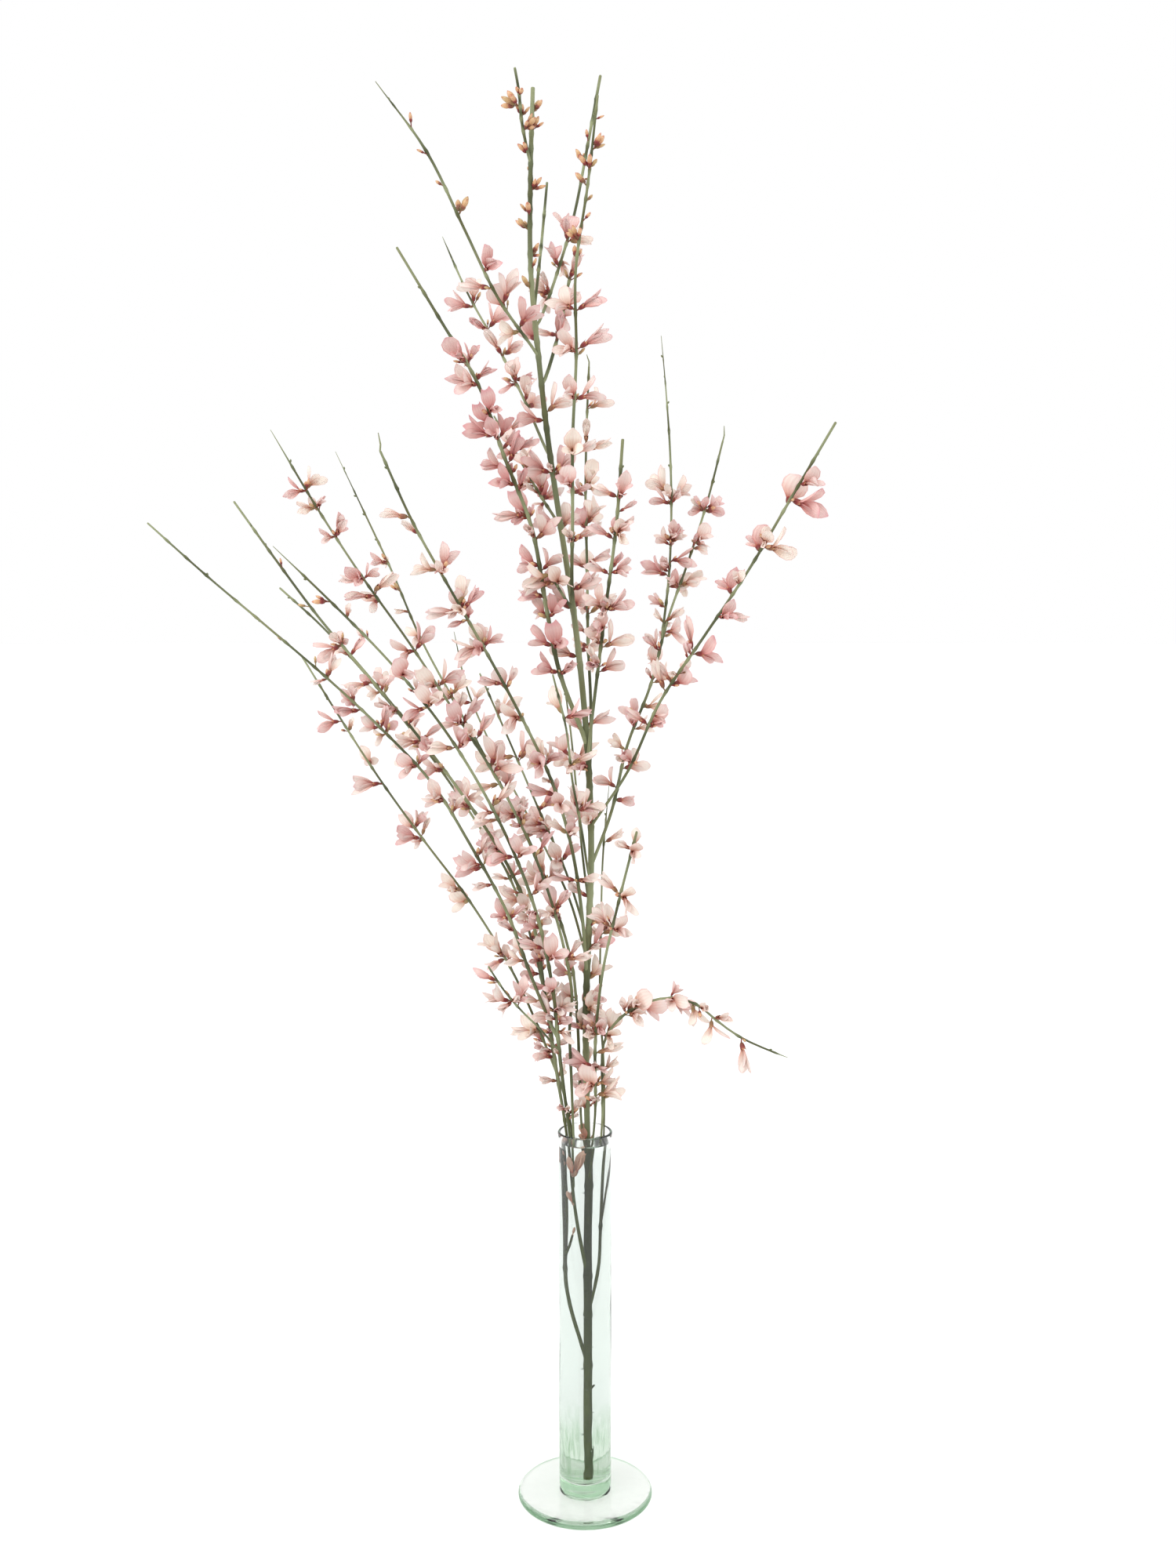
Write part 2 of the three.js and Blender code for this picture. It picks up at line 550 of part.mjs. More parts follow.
// The vase is turned round its axis from half its outline, from the foot's centre round to the bore's floor.
function vaseSolid() {
  const bore = TUBE_RADIUS - WALL;
  const edge = 0.4 * FOOT_THICKNESS;
  const outline = [
    [0, 0],
    [FOOT_RADIUS - edge, 0],
    [FOOT_RADIUS, edge],
    [FOOT_RADIUS, FOOT_THICKNESS - edge],
    [FOOT_RADIUS - edge, FOOT_THICKNESS],
    [TUBE_RADIUS + 3, FOOT_THICKNESS + 0.4],
    [TUBE_RADIUS + 0.6, FOOT_THICKNESS + 1.2],
    [TUBE_RADIUS, FOOT_THICKNESS + 4],
    [TUBE_RADIUS, VASE_HEIGHT - 10],
    [TUBE_RADIUS + RIM_FLARE, VASE_HEIGHT - 1.2],
    [TUBE_RADIUS - 0.4, VASE_HEIGHT],
    [bore + RIM_FLARE, VASE_HEIGHT - 1.2],
    [bore, VASE_HEIGHT - 10],
    [bore, BORE_FLOOR + FLOOR_ROUNDING],
    [bore - 0.3 * FLOOR_ROUNDING, BORE_FLOOR + 0.3 * FLOOR_ROUNDING],
    [bore - FLOOR_ROUNDING, BORE_FLOOR],
    [0, BORE_FLOOR],
  ].map(([x, y]) => new THREE.Vector2(x, y));
  const lathe = new THREE.LatheGeometry(outline, VASE_SIDES);
  return solidOf(lathe.rotateX(Math.PI / 2));
}

// The water fills the bore, with plain holes where stems and sunken flowers stand in it.
function waterSolid(standing) {
  const radius = TUBE_RADIUS - WALL - CLEARANCE;
  const floor = BORE_FLOOR + CLEARANCE;
  const outline = [
    [0, floor],
    [radius - FLOOR_ROUNDING, floor],
    [radius - 0.3 * FLOOR_ROUNDING, floor + 0.3 * FLOOR_ROUNDING],
    [radius, floor + FLOOR_ROUNDING],
    [radius, WATER_LEVEL],
    [0, WATER_LEVEL],
  ].map(([x, y]) => new THREE.Vector2(x, y));
  const lathe = new THREE.LatheGeometry(outline, VASE_SIDES);
  const full = solidOf(lathe.rotateX(Math.PI / 2));
  return largestOf(full.subtract(wasm.Manifold.union(standing)));
}

const group = new THREE.Group();

function addPiece(name, solid, finish) {
  const mesh = new THREE.Mesh(geometryOf(solid), new THREE.MeshStandardMaterial(finish));
  mesh.name = name;
  group.add(mesh);
}

// Flowers and buds are placed first, in the order of the list above.
const random = seeded(SEED);
for (const plant of plants) {
  plant.paths.forEach((path, i) => {
    plant.stems[i].flowers.forEach((run) => growRun(plant, path, run, "flower", random));
    plant.stems[i].buds.forEach((run) => growRun(plant, path, run, "bud", random));
  });
}

// Then each spray is fused, and cut clear of the stem that it grows from.
const wideStems = new Map();
const inWater = [];
for (const plant of plants) {
  const wide = plant.paths.map((path) => stemSolid(path, CORNER_CLEARANCE));
  wideStems.set(plant.name, wasm.Manifold.union(wide));
  let stems = wasm.Manifold.union(plant.paths.map((path) => stemSolid(path, 0)));
  if (plant.from) stems = largestOf(stems.subtract(wideStems.get(plant.from)));
  const grown = plant.grown.flatMap((f) => grownSolids(f, 0));
  addPiece(plant.name, largestOf(wasm.Manifold.union([stems, ...grown])), plant.from ? BLOSSOM : STEM);
  if (plant.paths[0].points[0].z < WATER_LEVEL) inWater.push(wide[0]);
  plant.grown.filter((f) => f.root.z < WATER_LEVEL + 15)
    .forEach((f) => inWater.push(...grownSolids(f, CLEARANCE)));
}
addPiece("glass_vase", vaseSolid(), GLASS);
addPiece("water", waterSolid(inWater), WATER);

export default group;
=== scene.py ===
"""A cut branch of broom in flower, standing in water in a narrow glass vase.

Blender works in metres and this plan in millimetres, +Z up, with the origin at the centre of
the underside of the vase's foot. +X is to the viewer's right and +Y away from the viewer.
"""

import math
from types import SimpleNamespace

import bmesh
import bpy
import numpy as np
from mathutils import Matrix


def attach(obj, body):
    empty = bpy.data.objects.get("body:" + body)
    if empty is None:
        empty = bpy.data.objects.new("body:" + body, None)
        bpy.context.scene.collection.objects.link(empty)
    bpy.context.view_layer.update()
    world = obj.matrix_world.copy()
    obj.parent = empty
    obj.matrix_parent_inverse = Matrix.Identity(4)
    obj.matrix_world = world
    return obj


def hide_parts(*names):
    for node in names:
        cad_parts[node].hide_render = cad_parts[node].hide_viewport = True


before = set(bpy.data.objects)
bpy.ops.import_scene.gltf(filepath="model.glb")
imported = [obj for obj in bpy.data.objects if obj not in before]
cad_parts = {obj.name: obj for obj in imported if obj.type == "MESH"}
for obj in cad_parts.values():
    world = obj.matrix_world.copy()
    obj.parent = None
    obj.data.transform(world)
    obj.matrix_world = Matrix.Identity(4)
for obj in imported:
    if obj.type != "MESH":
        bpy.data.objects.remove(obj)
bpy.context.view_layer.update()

MM = 0.001

# The vase: a disc foot, a solid base and a straight tube with a fire-polished rim.
VASE_HEIGHT = 200
FOOT_RADIUS = 35.8
FOOT_THICKNESS = 4.2
TUBE_RADIUS = 13.8
WALL = 2
RIM_FLARE = 0.5
BORE_FLOOR = 10.5
FLOOR_ROUNDING = 3
VASE_SIDES = 96
WATER_LEVEL = 194
CLEARANCE = 0.35

# A stem follows a smooth curve, and what it carries is placed on straight stretches of it.
STEP_LENGTH = 42
FEWEST_STEPS = 4
CURVE_STEPS = 12

# A flower and a bud at full size.
STALK_LENGTH = 4.5
WING_LENGTH = 12.5
WING_HALF_WIDTH = 2.9
STANDARD_LENGTH = 11.5
STANDARD_HALF_WIDTH = 4.4
WING_TWIST = 0.8
BUD_LENGTH = 7
BUD_STALK_LENGTH = 2.25

# How flowers are set round a stem.
GOLDEN_ANGLE = 2.39996
TURN_IN_CLUSTER = 2.1
PER_CLUSTER = 2
TURNS_TRIED = [0, 0.8, -0.8, 1.6, -1.6, 2.4, -2.4, 3.1]
SMALL_BLOOM = 0.8
ROOM_TO_OTHERS = 0.4
ROOM_TO_OWN = 0.1
REACH = 60
STEM_LINES = 16
SEED = 20


def stem(points, thick, thin, flowers=(), buds=(), steps=None):
    """A stem's points from root to tip, its radius at both, and what it carries.

    Flowers and buds are each [from, to, how many], from and to as parts of the stem's length.
    """
    return SimpleNamespace(points=points, radii=(thick, thin), flowers=flowers, buds=buds, steps=steps)


# Each spray's name, the one that it grows from, and its stems. The first stem grows from there,
# and the others from the first.
SPRAYS = [
    ("main_stem", None, [
      stem([[1, 0, 11], [1, 0, 90], [1, 0, 165], [2, 1, 196], [0, 2, 242], [2, 3, 314], [3, 3, 366],
          [-2, 0, 438], [-8, -4, 485], [-16, -8, 537], [-21, -10, 577], [-25, -12, 617], [-27, -14, 653],
          [-25, -20, 720]],
        2.15, 0.95, flowers=[[0.28, 0.45, 15], [0.46, 0.85, 18]], buds=[[0.86, 0.99, 10]]),
      stem([[-26, -17, 683], [-30, -25, 701], [-31, -32, 713], [-33, -35, 724]],
        0.7, 0.6, buds=[[0.3, 0.8, 4]]),
      stem([[-25, -12, 617], [-22, 0, 648], [-19, 10, 684]],
        0.7, 0.6, buds=[[0.2, 0.4, 1]]),
      stem([[-7, -3, 471], [-14, -12, 483], [-18, -20, 491]],
        0.7, 0.6, flowers=[[0.5, 0.95, 3]]),
      stem([[-21, -10, 578], [-13, 2, 609], [-10, 12, 628], [-5, 20, 649]],
        0.85, 0.6, flowers=[[0.25, 0.9, 5]]),
    ]),
    ("left_fork_spray", "main_stem", [
      stem([[1, 0, 74], [-4, 1, 88], [-6, 2, 105], [-7, 2, 124], [-8, 3, 166], [-10, 3, 199],
          [-18, 5, 248], [-24, 7, 290], [-33, 10, 325], [-63, 17, 373], [-99, 25, 419], [-138, 33, 464],
          [-165, 40, 499], [-187, 45, 529]],
        1.45, 0.6, flowers=[[0.3, 0.828, 19]], buds=[[0.84, 0.93, 2]]),
      stem([[-19, 6, 262], [-36, 24, 321], [-67, 46, 369], [-107, 70, 419], [-149, 92, 463],
          [-175, 105, 485]],
        0.95, 0.6, flowers=[[0.25, 0.85, 9]], buds=[[0.86, 0.95, 1]]),
    ]),
    ("left_back_fork_spray", "left_fork_spray", [
      stem([[-7, 2, 124], [-6, 5, 150], [-6, 7, 172], [-7, 7, 198], [-14, 10, 226], [-27, 13, 256],
          [-45, 20, 293], [-64, 28, 320], [-103, 43, 369], [-136, 58, 416], [-157, 70, 447]],
        0.95, 0.6, flowers=[[0.3, 0.93, 12]]),
    ]),
    ("left_front_fork_spray", "main_stem", [
      stem([[1, 0, 123], [-3, -2, 136], [-4, -4, 152], [-5, -5, 170], [-8, -6, 199], [-14, -8, 249],
          [-19, -13, 295], [-32, -22, 341], [-52, -36, 386], [-78, -56, 429], [-109, -76, 466],
          [-139, -95, 498]],
        1.45, 0.6, flowers=[[0.1, 0.16, 3], [0.3, 0.85, 15]], buds=[[0.86, 0.95, 1]]),
      stem([[-14, -8, 249], [-27, -11, 283], [-40, -14, 319], [-62, -16, 360], [-86, -17, 397],
          [-110, -18, 419], [-143, -20, 451], [-170, -22, 473], [-214, -25, 513]],
        1.1, 0.6, flowers=[[0.15, 0.65, 10]], buds=[[0.66, 0.76, 2]]),
      stem([[-13, -8, 243], [-25, -20, 262], [-34, -33, 274], [-41, -42, 286], [-47, -50, 298]],
        0.7, 0.6, flowers=[[0.5, 0.95, 3]]),
    ]),
    ("tall_left_front_spray", "main_stem", [
      stem([[0, 2, 241], [-6, -7, 273], [-16, -14, 320], [-34, -23, 369], [-55, -30, 406],
          [-84, -38, 453], [-117, -47, 502], [-147, -55, 554]],
        1.1, 0.6, flowers=[[0.12, 0.85, 19]]),
    ]),
    ("tall_left_back_spray", "main_stem", [
      stem([[0, 2, 251], [-3, 6, 270], [-15, 14, 315], [-36, 27, 363], [-62, 40, 408], [-90, 54, 458],
          [-106, 63, 494], [-138, 80, 559]],
        1.1, 0.6, flowers=[[0.12, 0.7, 13]], buds=[[0.71, 0.78, 1]]),
    ]),
    ("middle_left_spray", "main_stem", [
      stem([[1, 2, 280], [-1, -3, 310], [-7, -12, 352], [-19, -24, 392], [-42, -42, 440],
          [-67, -62, 487], [-84, -76, 520], [-92, -85, 541]],
        1.2, 0.6, flowers=[[0.15, 0.92, 19]]),
    ]),
    ("thin_back_spray", "main_stem", [
      stem([[1, 2, 290], [-4, 12, 310], [-20, 32, 342], [-46, 62, 386], [-65, 82, 424], [-75, 100, 460]],
        0.85, 0.6, flowers=[[0.25, 0.85, 6]]),
    ]),
    ("inner_left_spray", "main_stem", [
      stem([[2, 3, 300], [-7, 9, 328], [-23, 18, 364], [-38, 26, 398], [-56, 35, 438]],
        0.85, 0.6, flowers=[[0.2, 0.93, 7]]),
    ]),
    ("inner_back_spray", "main_stem", [
      stem([[2, 3, 317], [-1, 13, 340], [-5, 27, 380], [-9, 39, 418], [-12, 45, 437]],
        0.85, 0.6, flowers=[[0.25, 0.95, 5]]),
    ]),
    ("inner_front_spray", "main_stem", [
      stem([[2, 3, 330], [0, -8, 350], [-6, -28, 385], [-10, -52, 421], [-15, -65, 440]],
        0.85, 0.6, flowers=[[0.25, 0.95, 6]]),
    ]),
    ("back_right_spray", "main_stem", [
      stem([[2, 3, 336], [10, 12, 351], [22, 28, 399], [37, 42, 437], [41, 47, 456], [51, 56, 484],
          [63, 68, 518], [72, 76, 549], [76, 80, 565]],
        1.1, 0.6, flowers=[[0.12, 0.88, 15]]),
      stem([[41, 47, 456], [45, 56, 485], [47, 66, 535], [45, 78, 583], [42, 88, 623]],
        0.85, 0.6, flowers=[[0.1, 0.55, 4]]),
    ]),
    ("front_right_spray", "main_stem", [
      stem([[3, 3, 360], [21, -14, 389], [36, -28, 424], [60, -46, 462], [83, -64, 499],
          [97, -78, 526], [112, -90, 553]],
        0.95, 0.7, flowers=[[0.2, 0.87, 12]]),
    ]),
    ("upper_back_spray", "main_stem", [
      stem([[2, 3, 380], [3, 10, 425], [1, 18, 466], [1, 30, 500], [0, 44, 539], [1, 54, 575],
          [2, 60, 602]],
        1.1, 0.7, flowers=[[0.25, 0.96, 13]]),
    ]),
    ("upper_right_spray", "main_stem", [
      stem([[1, 2, 394], [6, -14, 437], [11, -28, 478], [15, -36, 509], [18, -45, 551]],
        1.1, 0.85, flowers=[[0.25, 0.86, 12]]),
    ]),
    ("dense_left_spray", "main_stem", [
      stem([[1, 1, 404], [-14, -6, 443], [-19, -10, 470], [-26, -14, 510], [-38, -18, 540],
          [-47, -24, 574], [-57, -26, 584], [-70, -28, 610], [-90, -30, 643]],
        1.55, 0.7, flowers=[[0.12, 0.78, 26]]),
    ]),
    ("crown_front_spray", "main_stem", [
      stem([[-2, 0, 442], [-6, -11, 470], [-6, -24, 519], [-6, -30, 549], [-4, -38, 593],
          [-4, -42, 635], [2, -48, 671], [6, -55, 705]],
        1.2, 0.7, flowers=[[0.12, 0.7, 14]], buds=[[0.72, 0.93, 7]]),
    ]),
    ("short_left_spray", "main_stem", [
      stem([[-13, -7, 514], [-21, 4, 526], [-34, 26, 549], [-48, 40, 573]],
        0.95, 0.6, flowers=[[0.2, 0.95, 7]]),
    ]),
    ("upper_left_spray", "main_stem", [
      stem([[-17, -8, 544], [-26, 4, 566], [-32, 18, 580], [-43, 34, 603], [-60, 52, 634], [-77, 70, 672]],
        0.95, 0.6, flowers=[[0.2, 0.75, 10]]),
    ]),
    ("crown_left_spray", "main_stem", [
      stem([[-23, -11, 596], [-32, -22, 604], [-49, -40, 632], [-68, -56, 672], [-79, -62, 686],
          [-94, -70, 706]],
        0.95, 0.6, flowers=[[0.06, 0.35, 6]], buds=[[0.5, 0.9, 4]]),
    ]),
    ("crown_back_spray", "main_stem", [
      stem([[-24, -11, 606], [-17, 2, 629], [-7, 25, 666], [1, 40, 709], [8, 50, 749]],
        0.95, 0.7, flowers=[[0.1, 0.45, 6]], buds=[[0.6, 0.95, 5]]),
    ]),
    ("low_right_spray", "main_stem", [
      stem([[1, 0, 171], [5, -5, 192], [5, -8, 220], [5, -11, 245], [7, -16, 271], [12, -28, 310],
          [21, -42, 342], [25, -50, 364]],
        1.1, 0.6, flowers=[[0.2, 0.4, 4], [0.68, 0.97, 5]]),
    ]),
    ("arching_spray", "main_stem", [
      stem([[1, 0, 104], [5, 0, 125], [6, 0, 150], [7, 0, 180], [9, -1, 205], [9, -2, 228],
          [9, -4, 245], [14, -10, 258], [23, -16, 268], [38, -24, 276], [53, -31, 276], [65, -36, 268],
          [79, -40, 259], [100, -44, 251]],
        1.3, 0.6, steps=20, flowers=[[0.5, 0.93, 15]]),
    ]),
    ("thin_right_spray", "arching_spray", [
      stem([[6, 0, 150], [8, 3, 175], [10, 4, 196], [10, 6, 229], [8, 11, 251], [8, 22, 289],
          [9, 30, 317], [10, 40, 348], [13, 50, 377]],
        0.85, 0.6, flowers=[[0.5, 0.95, 3]]),
    ]),
]


def seeded(seed):
    """A small seeded generator of numbers from 0 to 1."""
    state = seed

    def draw():
        nonlocal state
        state = (state + 0x6D2B79F5) & 0xFFFFFFFF
        t = ((state ^ (state >> 15)) * (state | 1)) & 0xFFFFFFFF
        t ^= (t + (t ^ (t >> 7)) * (t | 61)) & 0xFFFFFFFF
        return (t ^ (t >> 14)) / 4294967296

    return draw


def unit(vector):
    return vector / np.linalg.norm(vector)


def smooth_line(corners, steps):
    """Points on the smooth curve through some corners, so many to each stretch."""
    corners = np.array(corners, float)
    ends = [2 * corners[0] - corners[1], 2 * corners[-1] - corners[-2]]
    padded = np.vstack([ends[0], corners, ends[1]])
    points = []
    for i in range(len(corners) - 1):
        before, here, there, after = padded[i:i + 4]
        leave = 0.5 * (there - before)
        arrive = 0.5 * (after - here)
        for t in np.arange(steps) / steps:
            bend = -3 * here + 3 * there - 2 * leave - arrive
            close = 2 * here - 2 * there + leave + arrive
            points.append(here + leave * t + bend * t ** 2 + close * t ** 3)
    points.append(corners[-1])
    return np.array(points)


def measured(points, radii=(1, 1)):
    """Points with the length up to each."""
    steps = np.linalg.norm(np.diff(points, axis=0), axis=1)
    lengths = np.concatenate([[0], np.cumsum(steps)])
    return SimpleNamespace(points=points, lengths=lengths, total=lengths[-1], radii=radii)


def place_on(path, part):
    """The place at a part of a path's length: its point, its radius, the way along and two across."""
    wanted = part * path.total
    last = len(path.points) - 1
    i = min(max(int(np.searchsorted(path.lengths, wanted, side="left")), 1), last)
    share = (wanted - path.lengths[i - 1]) / (path.lengths[i] - path.lengths[i - 1])
    start, end = path.points[i - 1], path.points[i]
    along = unit(end - start)
    side = unit(np.cross(along, (0, 1, 0)))
    return SimpleNamespace(point=start + share * (end - start), along=along, side=side,
                           other=np.cross(side, along),
                           radius=path.radii[0] + (path.radii[1] - path.radii[0]) * part)


def path_of(plan):
    """A stem's path: evenly spaced points on a smooth curve, joined by straight stretches."""
    smooth = measured(smooth_line(plan.points, CURVE_STEPS))
    steps = plan.steps or max(FEWEST_STEPS, math.ceil(smooth.total / STEP_LENGTH))
    points = np.array([place_on(smooth, i / steps).point for i in range(steps + 1)])
    return measured(points, plan.radii)


def flower_frame(path, part, turn, draws, size):
    """A flower's place and directions."""
    place = place_on(path, part)
    out = place.side * math.cos(turn) + place.other * math.sin(turn)
    root = place.point - 0.5 * place.radius * out
    leaving = unit(out + 0.6 * place.along)
    heart = root + leaving * (STALK_LENGTH * size + 0.6 * place.radius)
    lift = 0.1 + 0.6 * draws.lift
    forward = out * math.cos(lift) + place.along * math.sin(lift)
    rise = place.along * math.cos(lift) - out * math.sin(lift)
    across = np.cross(forward, rise)
    opening = 0.5 + 0.45 * draws.open
    sink = 0.35 * draws.sink
    return SimpleNamespace(
        bud=False, root=root, leaving=leaving, heart=heart, forward=forward, rise=rise, across=across,
        standard=forward * math.cos(opening) + rise * math.sin(opening),
        keel=forward * math.cos(sink) - rise * math.sin(sink),
        keel_rise=rise * math.cos(sink) + forward * math.sin(sink),
        spread=0.5 + 0.8 * draws.spread, size=size, stem_radius=place.radius, path=path, part=part,
        draws=draws)


def petals_of(f):
    """A flower's petals, the standard first: the way out of the calyx, the way across and the size."""
    petals = [SimpleNamespace(way=f.standard, across=f.across, length=STANDARD_LENGTH * f.size,
                              half=STANDARD_HALF_WIDTH * f.size)]
    for side in (1, -1):
        spread = side * 0.5 * f.spread
        petals.append(SimpleNamespace(
            way=unit(f.keel + f.across * spread),
            across=unit(f.across - f.keel * spread + f.keel_rise * side * WING_TWIST),
            length=WING_LENGTH * f.size, half=WING_HALF_WIDTH * f.size))
    return petals


def flower_lines(f):
    """The lines that a flower fills, each with the room round it."""
    lines = [(f.root + f.leaving * (1.7 * f.stem_radius + 1), f.heart, 1)]
    for petal in petals_of(f):
        for along, sideways, room in ((1, 0, 1.6), (0.75, 0.75, 1.2), (0.75, -0.75, 1.2)):
            end = f.heart + petal.way * along * petal.length + petal.across * sideways * petal.half
            lines.append((f.heart, end, room))
    return lines


def bud_frame(path, part, turn, draws, size):
    """A bud's place and directions."""
    place = place_on(path, part)
    out = place.side * math.cos(turn) + place.other * math.sin(turn)
    lift = 0.5 + 0.5 * draws.lift
    forward = out * math.cos(lift) + place.along * math.sin(lift)
    rise = place.along * math.cos(lift) - out * math.sin(lift)
    return SimpleNamespace(bud=True, root=place.point + 0.4 * place.radius * out, forward=forward,
                           rise=rise, across=np.cross(forward, rise), size=size,
                           stem_radius=place.radius, path=path, part=part, draws=draws)


def bud_lines(f):
    """The line that a bud fills, with the room round it."""
    start = f.root + f.forward * (1.2 * f.stem_radius + 1)
    return [(start, f.root + f.forward * (BUD_STALK_LENGTH + BUD_LENGTH) * f.size, 1.4)]


class Room:
    """The lines that stems, flowers and buds take up, and whose they are."""

    def __init__(self):
        self.starts = np.zeros((0, 3))
        self.ends = np.zeros((0, 3))
        self.rooms = np.zeros(0)
        self.owners = np.zeros(0, int)
        self.grown = np.zeros(0, bool)

    def take(self, lines, owner, grown):
        self.starts = np.vstack([self.starts, [line[0] for line in lines]])
        self.ends = np.vstack([self.ends, [line[1] for line in lines]])
        self.rooms = np.append(self.rooms, [line[2] for line in lines])
        self.owners = np.append(self.owners, [owner] * len(lines))
        self.grown = np.append(self.grown, [grown] * len(lines))

    def gaps(self, lines, owner):
        """The smallest gap from some lines to what is taken, by others and by their own spray."""
        middle = lines[0][0]
        near = np.minimum(np.linalg.norm(self.starts - middle, axis=1),
                          np.linalg.norm(self.ends - middle, axis=1)) < REACH
        starts, ends, rooms = self.starts[near], self.ends[near], self.rooms[near]
        foreign = self.owners[near] != owner
        own = ~foreign & self.grown[near]
        smallest = [math.inf, math.inf]
        for start, end, room in lines:
            gap = line_gaps(start, end, starts, ends) - room - rooms
            for which, kind in enumerate((foreign, own)):
                if kind.any():
                    smallest[which] = min(smallest[which], gap[kind].min())
        return smallest


def line_gaps(start, end, starts, ends):
    """The distances from one line to each of several others."""
    d1 = end - start
    d2 = ends - starts
    r = start - starts
    aa = d1 @ d1
    ee = np.einsum("ij,ij->i", d2, d2)
    f = np.einsum("ij,ij->i", d2, r)
    c = r @ d1
    bb = d2 @ d1
    denominator = aa * ee - bb * bb
    safe = np.where(denominator > 1e-9, denominator, 1)
    s = np.where(denominator > 1e-9, np.clip((bb * f - c * ee) / safe, 0, 1), 0)
    t = (bb * s + f) / ee
    s = np.where(t < 0, np.clip(-c / aa, 0, 1), np.where(t > 1, np.clip((bb - c) / aa, 0, 1), s))
    t = np.clip(t, 0, 1)
    return np.linalg.norm(start + s[:, None] * d1 - starts - t[:, None] * d2, axis=1)


def inside_bore(lines):
    """Whether lines near the vase stay inside its bore."""
    room_inside = TUBE_RADIUS - WALL - CLEARANCE
    return all(point[2] > VASE_HEIGHT + 3 or math.hypot(point[0], point[1]) + 0.7 * room < room_inside
               for start, end, room in lines for point in (start, end))


def grow(spray, path, part, turn, draws, bud, room, least=ROOM_TO_OTHERS):
    """Sets one flower or bud, turned round the stem until it is clear, and smaller if it has to be."""
    frame_of = bud_frame if bud else flower_frame
    lines_of = bud_lines if bud else flower_lines
    size = 0.88 + 0.24 * draws.size
    best = None
    for scale in (size, SMALL_BLOOM * size):
        for more in TURNS_TRIED:
            made = frame_of(path, part, turn + more, draws, scale)
            lines = lines_of(made)
            if not inside_bore(lines):
                continue
            others, own = room.gaps(lines, spray.number)
            if others < least:
                continue
            if own >= ROOM_TO_OWN:
                best = made, lines
                break
            best = best or (made, lines)
        if best:
            break
    if best:
        spray.grown.append(best[0])
        room.take(best[1], spray.number, True)


def grow_run(spray, path, run, bud, random, room):
    """Sets a run of flowers in clusters, or of buds one by one, along part of a stem."""
    first, last, count = run
    clusters = max(1, math.floor(count / (1 if bud else PER_CLUSTER) + 0.5))
    start = 2 * math.pi * random()
    for i in range(count):
        cluster = i * clusters // count
        draws = SimpleNamespace(lift=random(), open=random(), sink=random(), spread=random(),
                                size=random(), shift=random())
        part = first + (last - first) * (cluster + 0.3 + 0.4 * draws.shift) / clusters
        grow(spray, path, part, start + cluster * GOLDEN_ANGLE + i * TURN_IN_CLUSTER, draws, bud, room)


def grow_all():
    """Places every flower and bud, in the order of the plan."""
    room = Room()
    sprays = []
    for number, (name, source, stems) in enumerate(SPRAYS):
        paths = [path_of(plan) for plan in stems]
        sprays.append(SimpleNamespace(name=name, source=source, number=number, stems=stems,
                                      paths=paths, grown=[]))
        for path in paths:
            places = [place_on(path, i / STEM_LINES) for i in range(STEM_LINES + 1)]
            lines = [(a.point, b.point, a.radius) for a, b in zip(places, places[1:])]
            room.take(lines, number, False)
    random = seeded(SEED)
    for spray in sprays:
        for plan, path in zip(spray.stems, spray.paths):
            for run in plan.flowers:
                grow_run(spray, path, run, False, random, room)
            for run in plan.buds:
                grow_run(spray, path, run, True, random, room)
    return sprays, room


# Blender's hand tools, with what they act on selected in code.
def deselect():
    bpy.ops.object.select_all(action="DESELECT")


def select_where(test):
    """In edit mode, selects the corners whose place passes a test, and nothing else."""
    data = bpy.context.edit_object.data
    mesh = bmesh.from_edit_mesh(data)
    for corner in mesh.verts:
        corner.select_set(bool(test(corner.co)))
    mesh.select_flush_mode()
    bmesh.update_edit_mesh(data)


def finish_shape(obj, name, smooth_angle=60):
    """Closes a modelled piece: its normals outwards, its shading smooth, its place in its mesh."""
    bpy.ops.mesh.select_all(action="SELECT")
    bpy.ops.mesh.remove_doubles(threshold=1e-7)
    bpy.ops.mesh.normals_make_consistent(inside=False)
    bpy.ops.object.mode_set(mode="OBJECT")
    deselect()
    obj.select_set(True)
    bpy.context.view_layer.objects.active = obj
    bpy.ops.object.transform_apply(location=True, rotation=True, scale=True)
    bpy.ops.object.shade_smooth_by_angle(angle=math.radians(smooth_angle))
    obj.name = name
    obj.data.name = name
    return obj


def master(obj):
    """Takes a modelled shape's mesh to copy from, and removes its object."""
    mesh = obj.data
    mesh.attributes.new("tint", "FLOAT_COLOR", "POINT")
    bpy.data.objects.remove(obj)
    return mesh


# Petals, all modelled one millimetre to the unit, with the claw at the origin, along +Y.
PETAL_THICKNESS = 0.12
# While a petal is shaped, its finished rows stand this far from those still to do.
ASIDE = 50


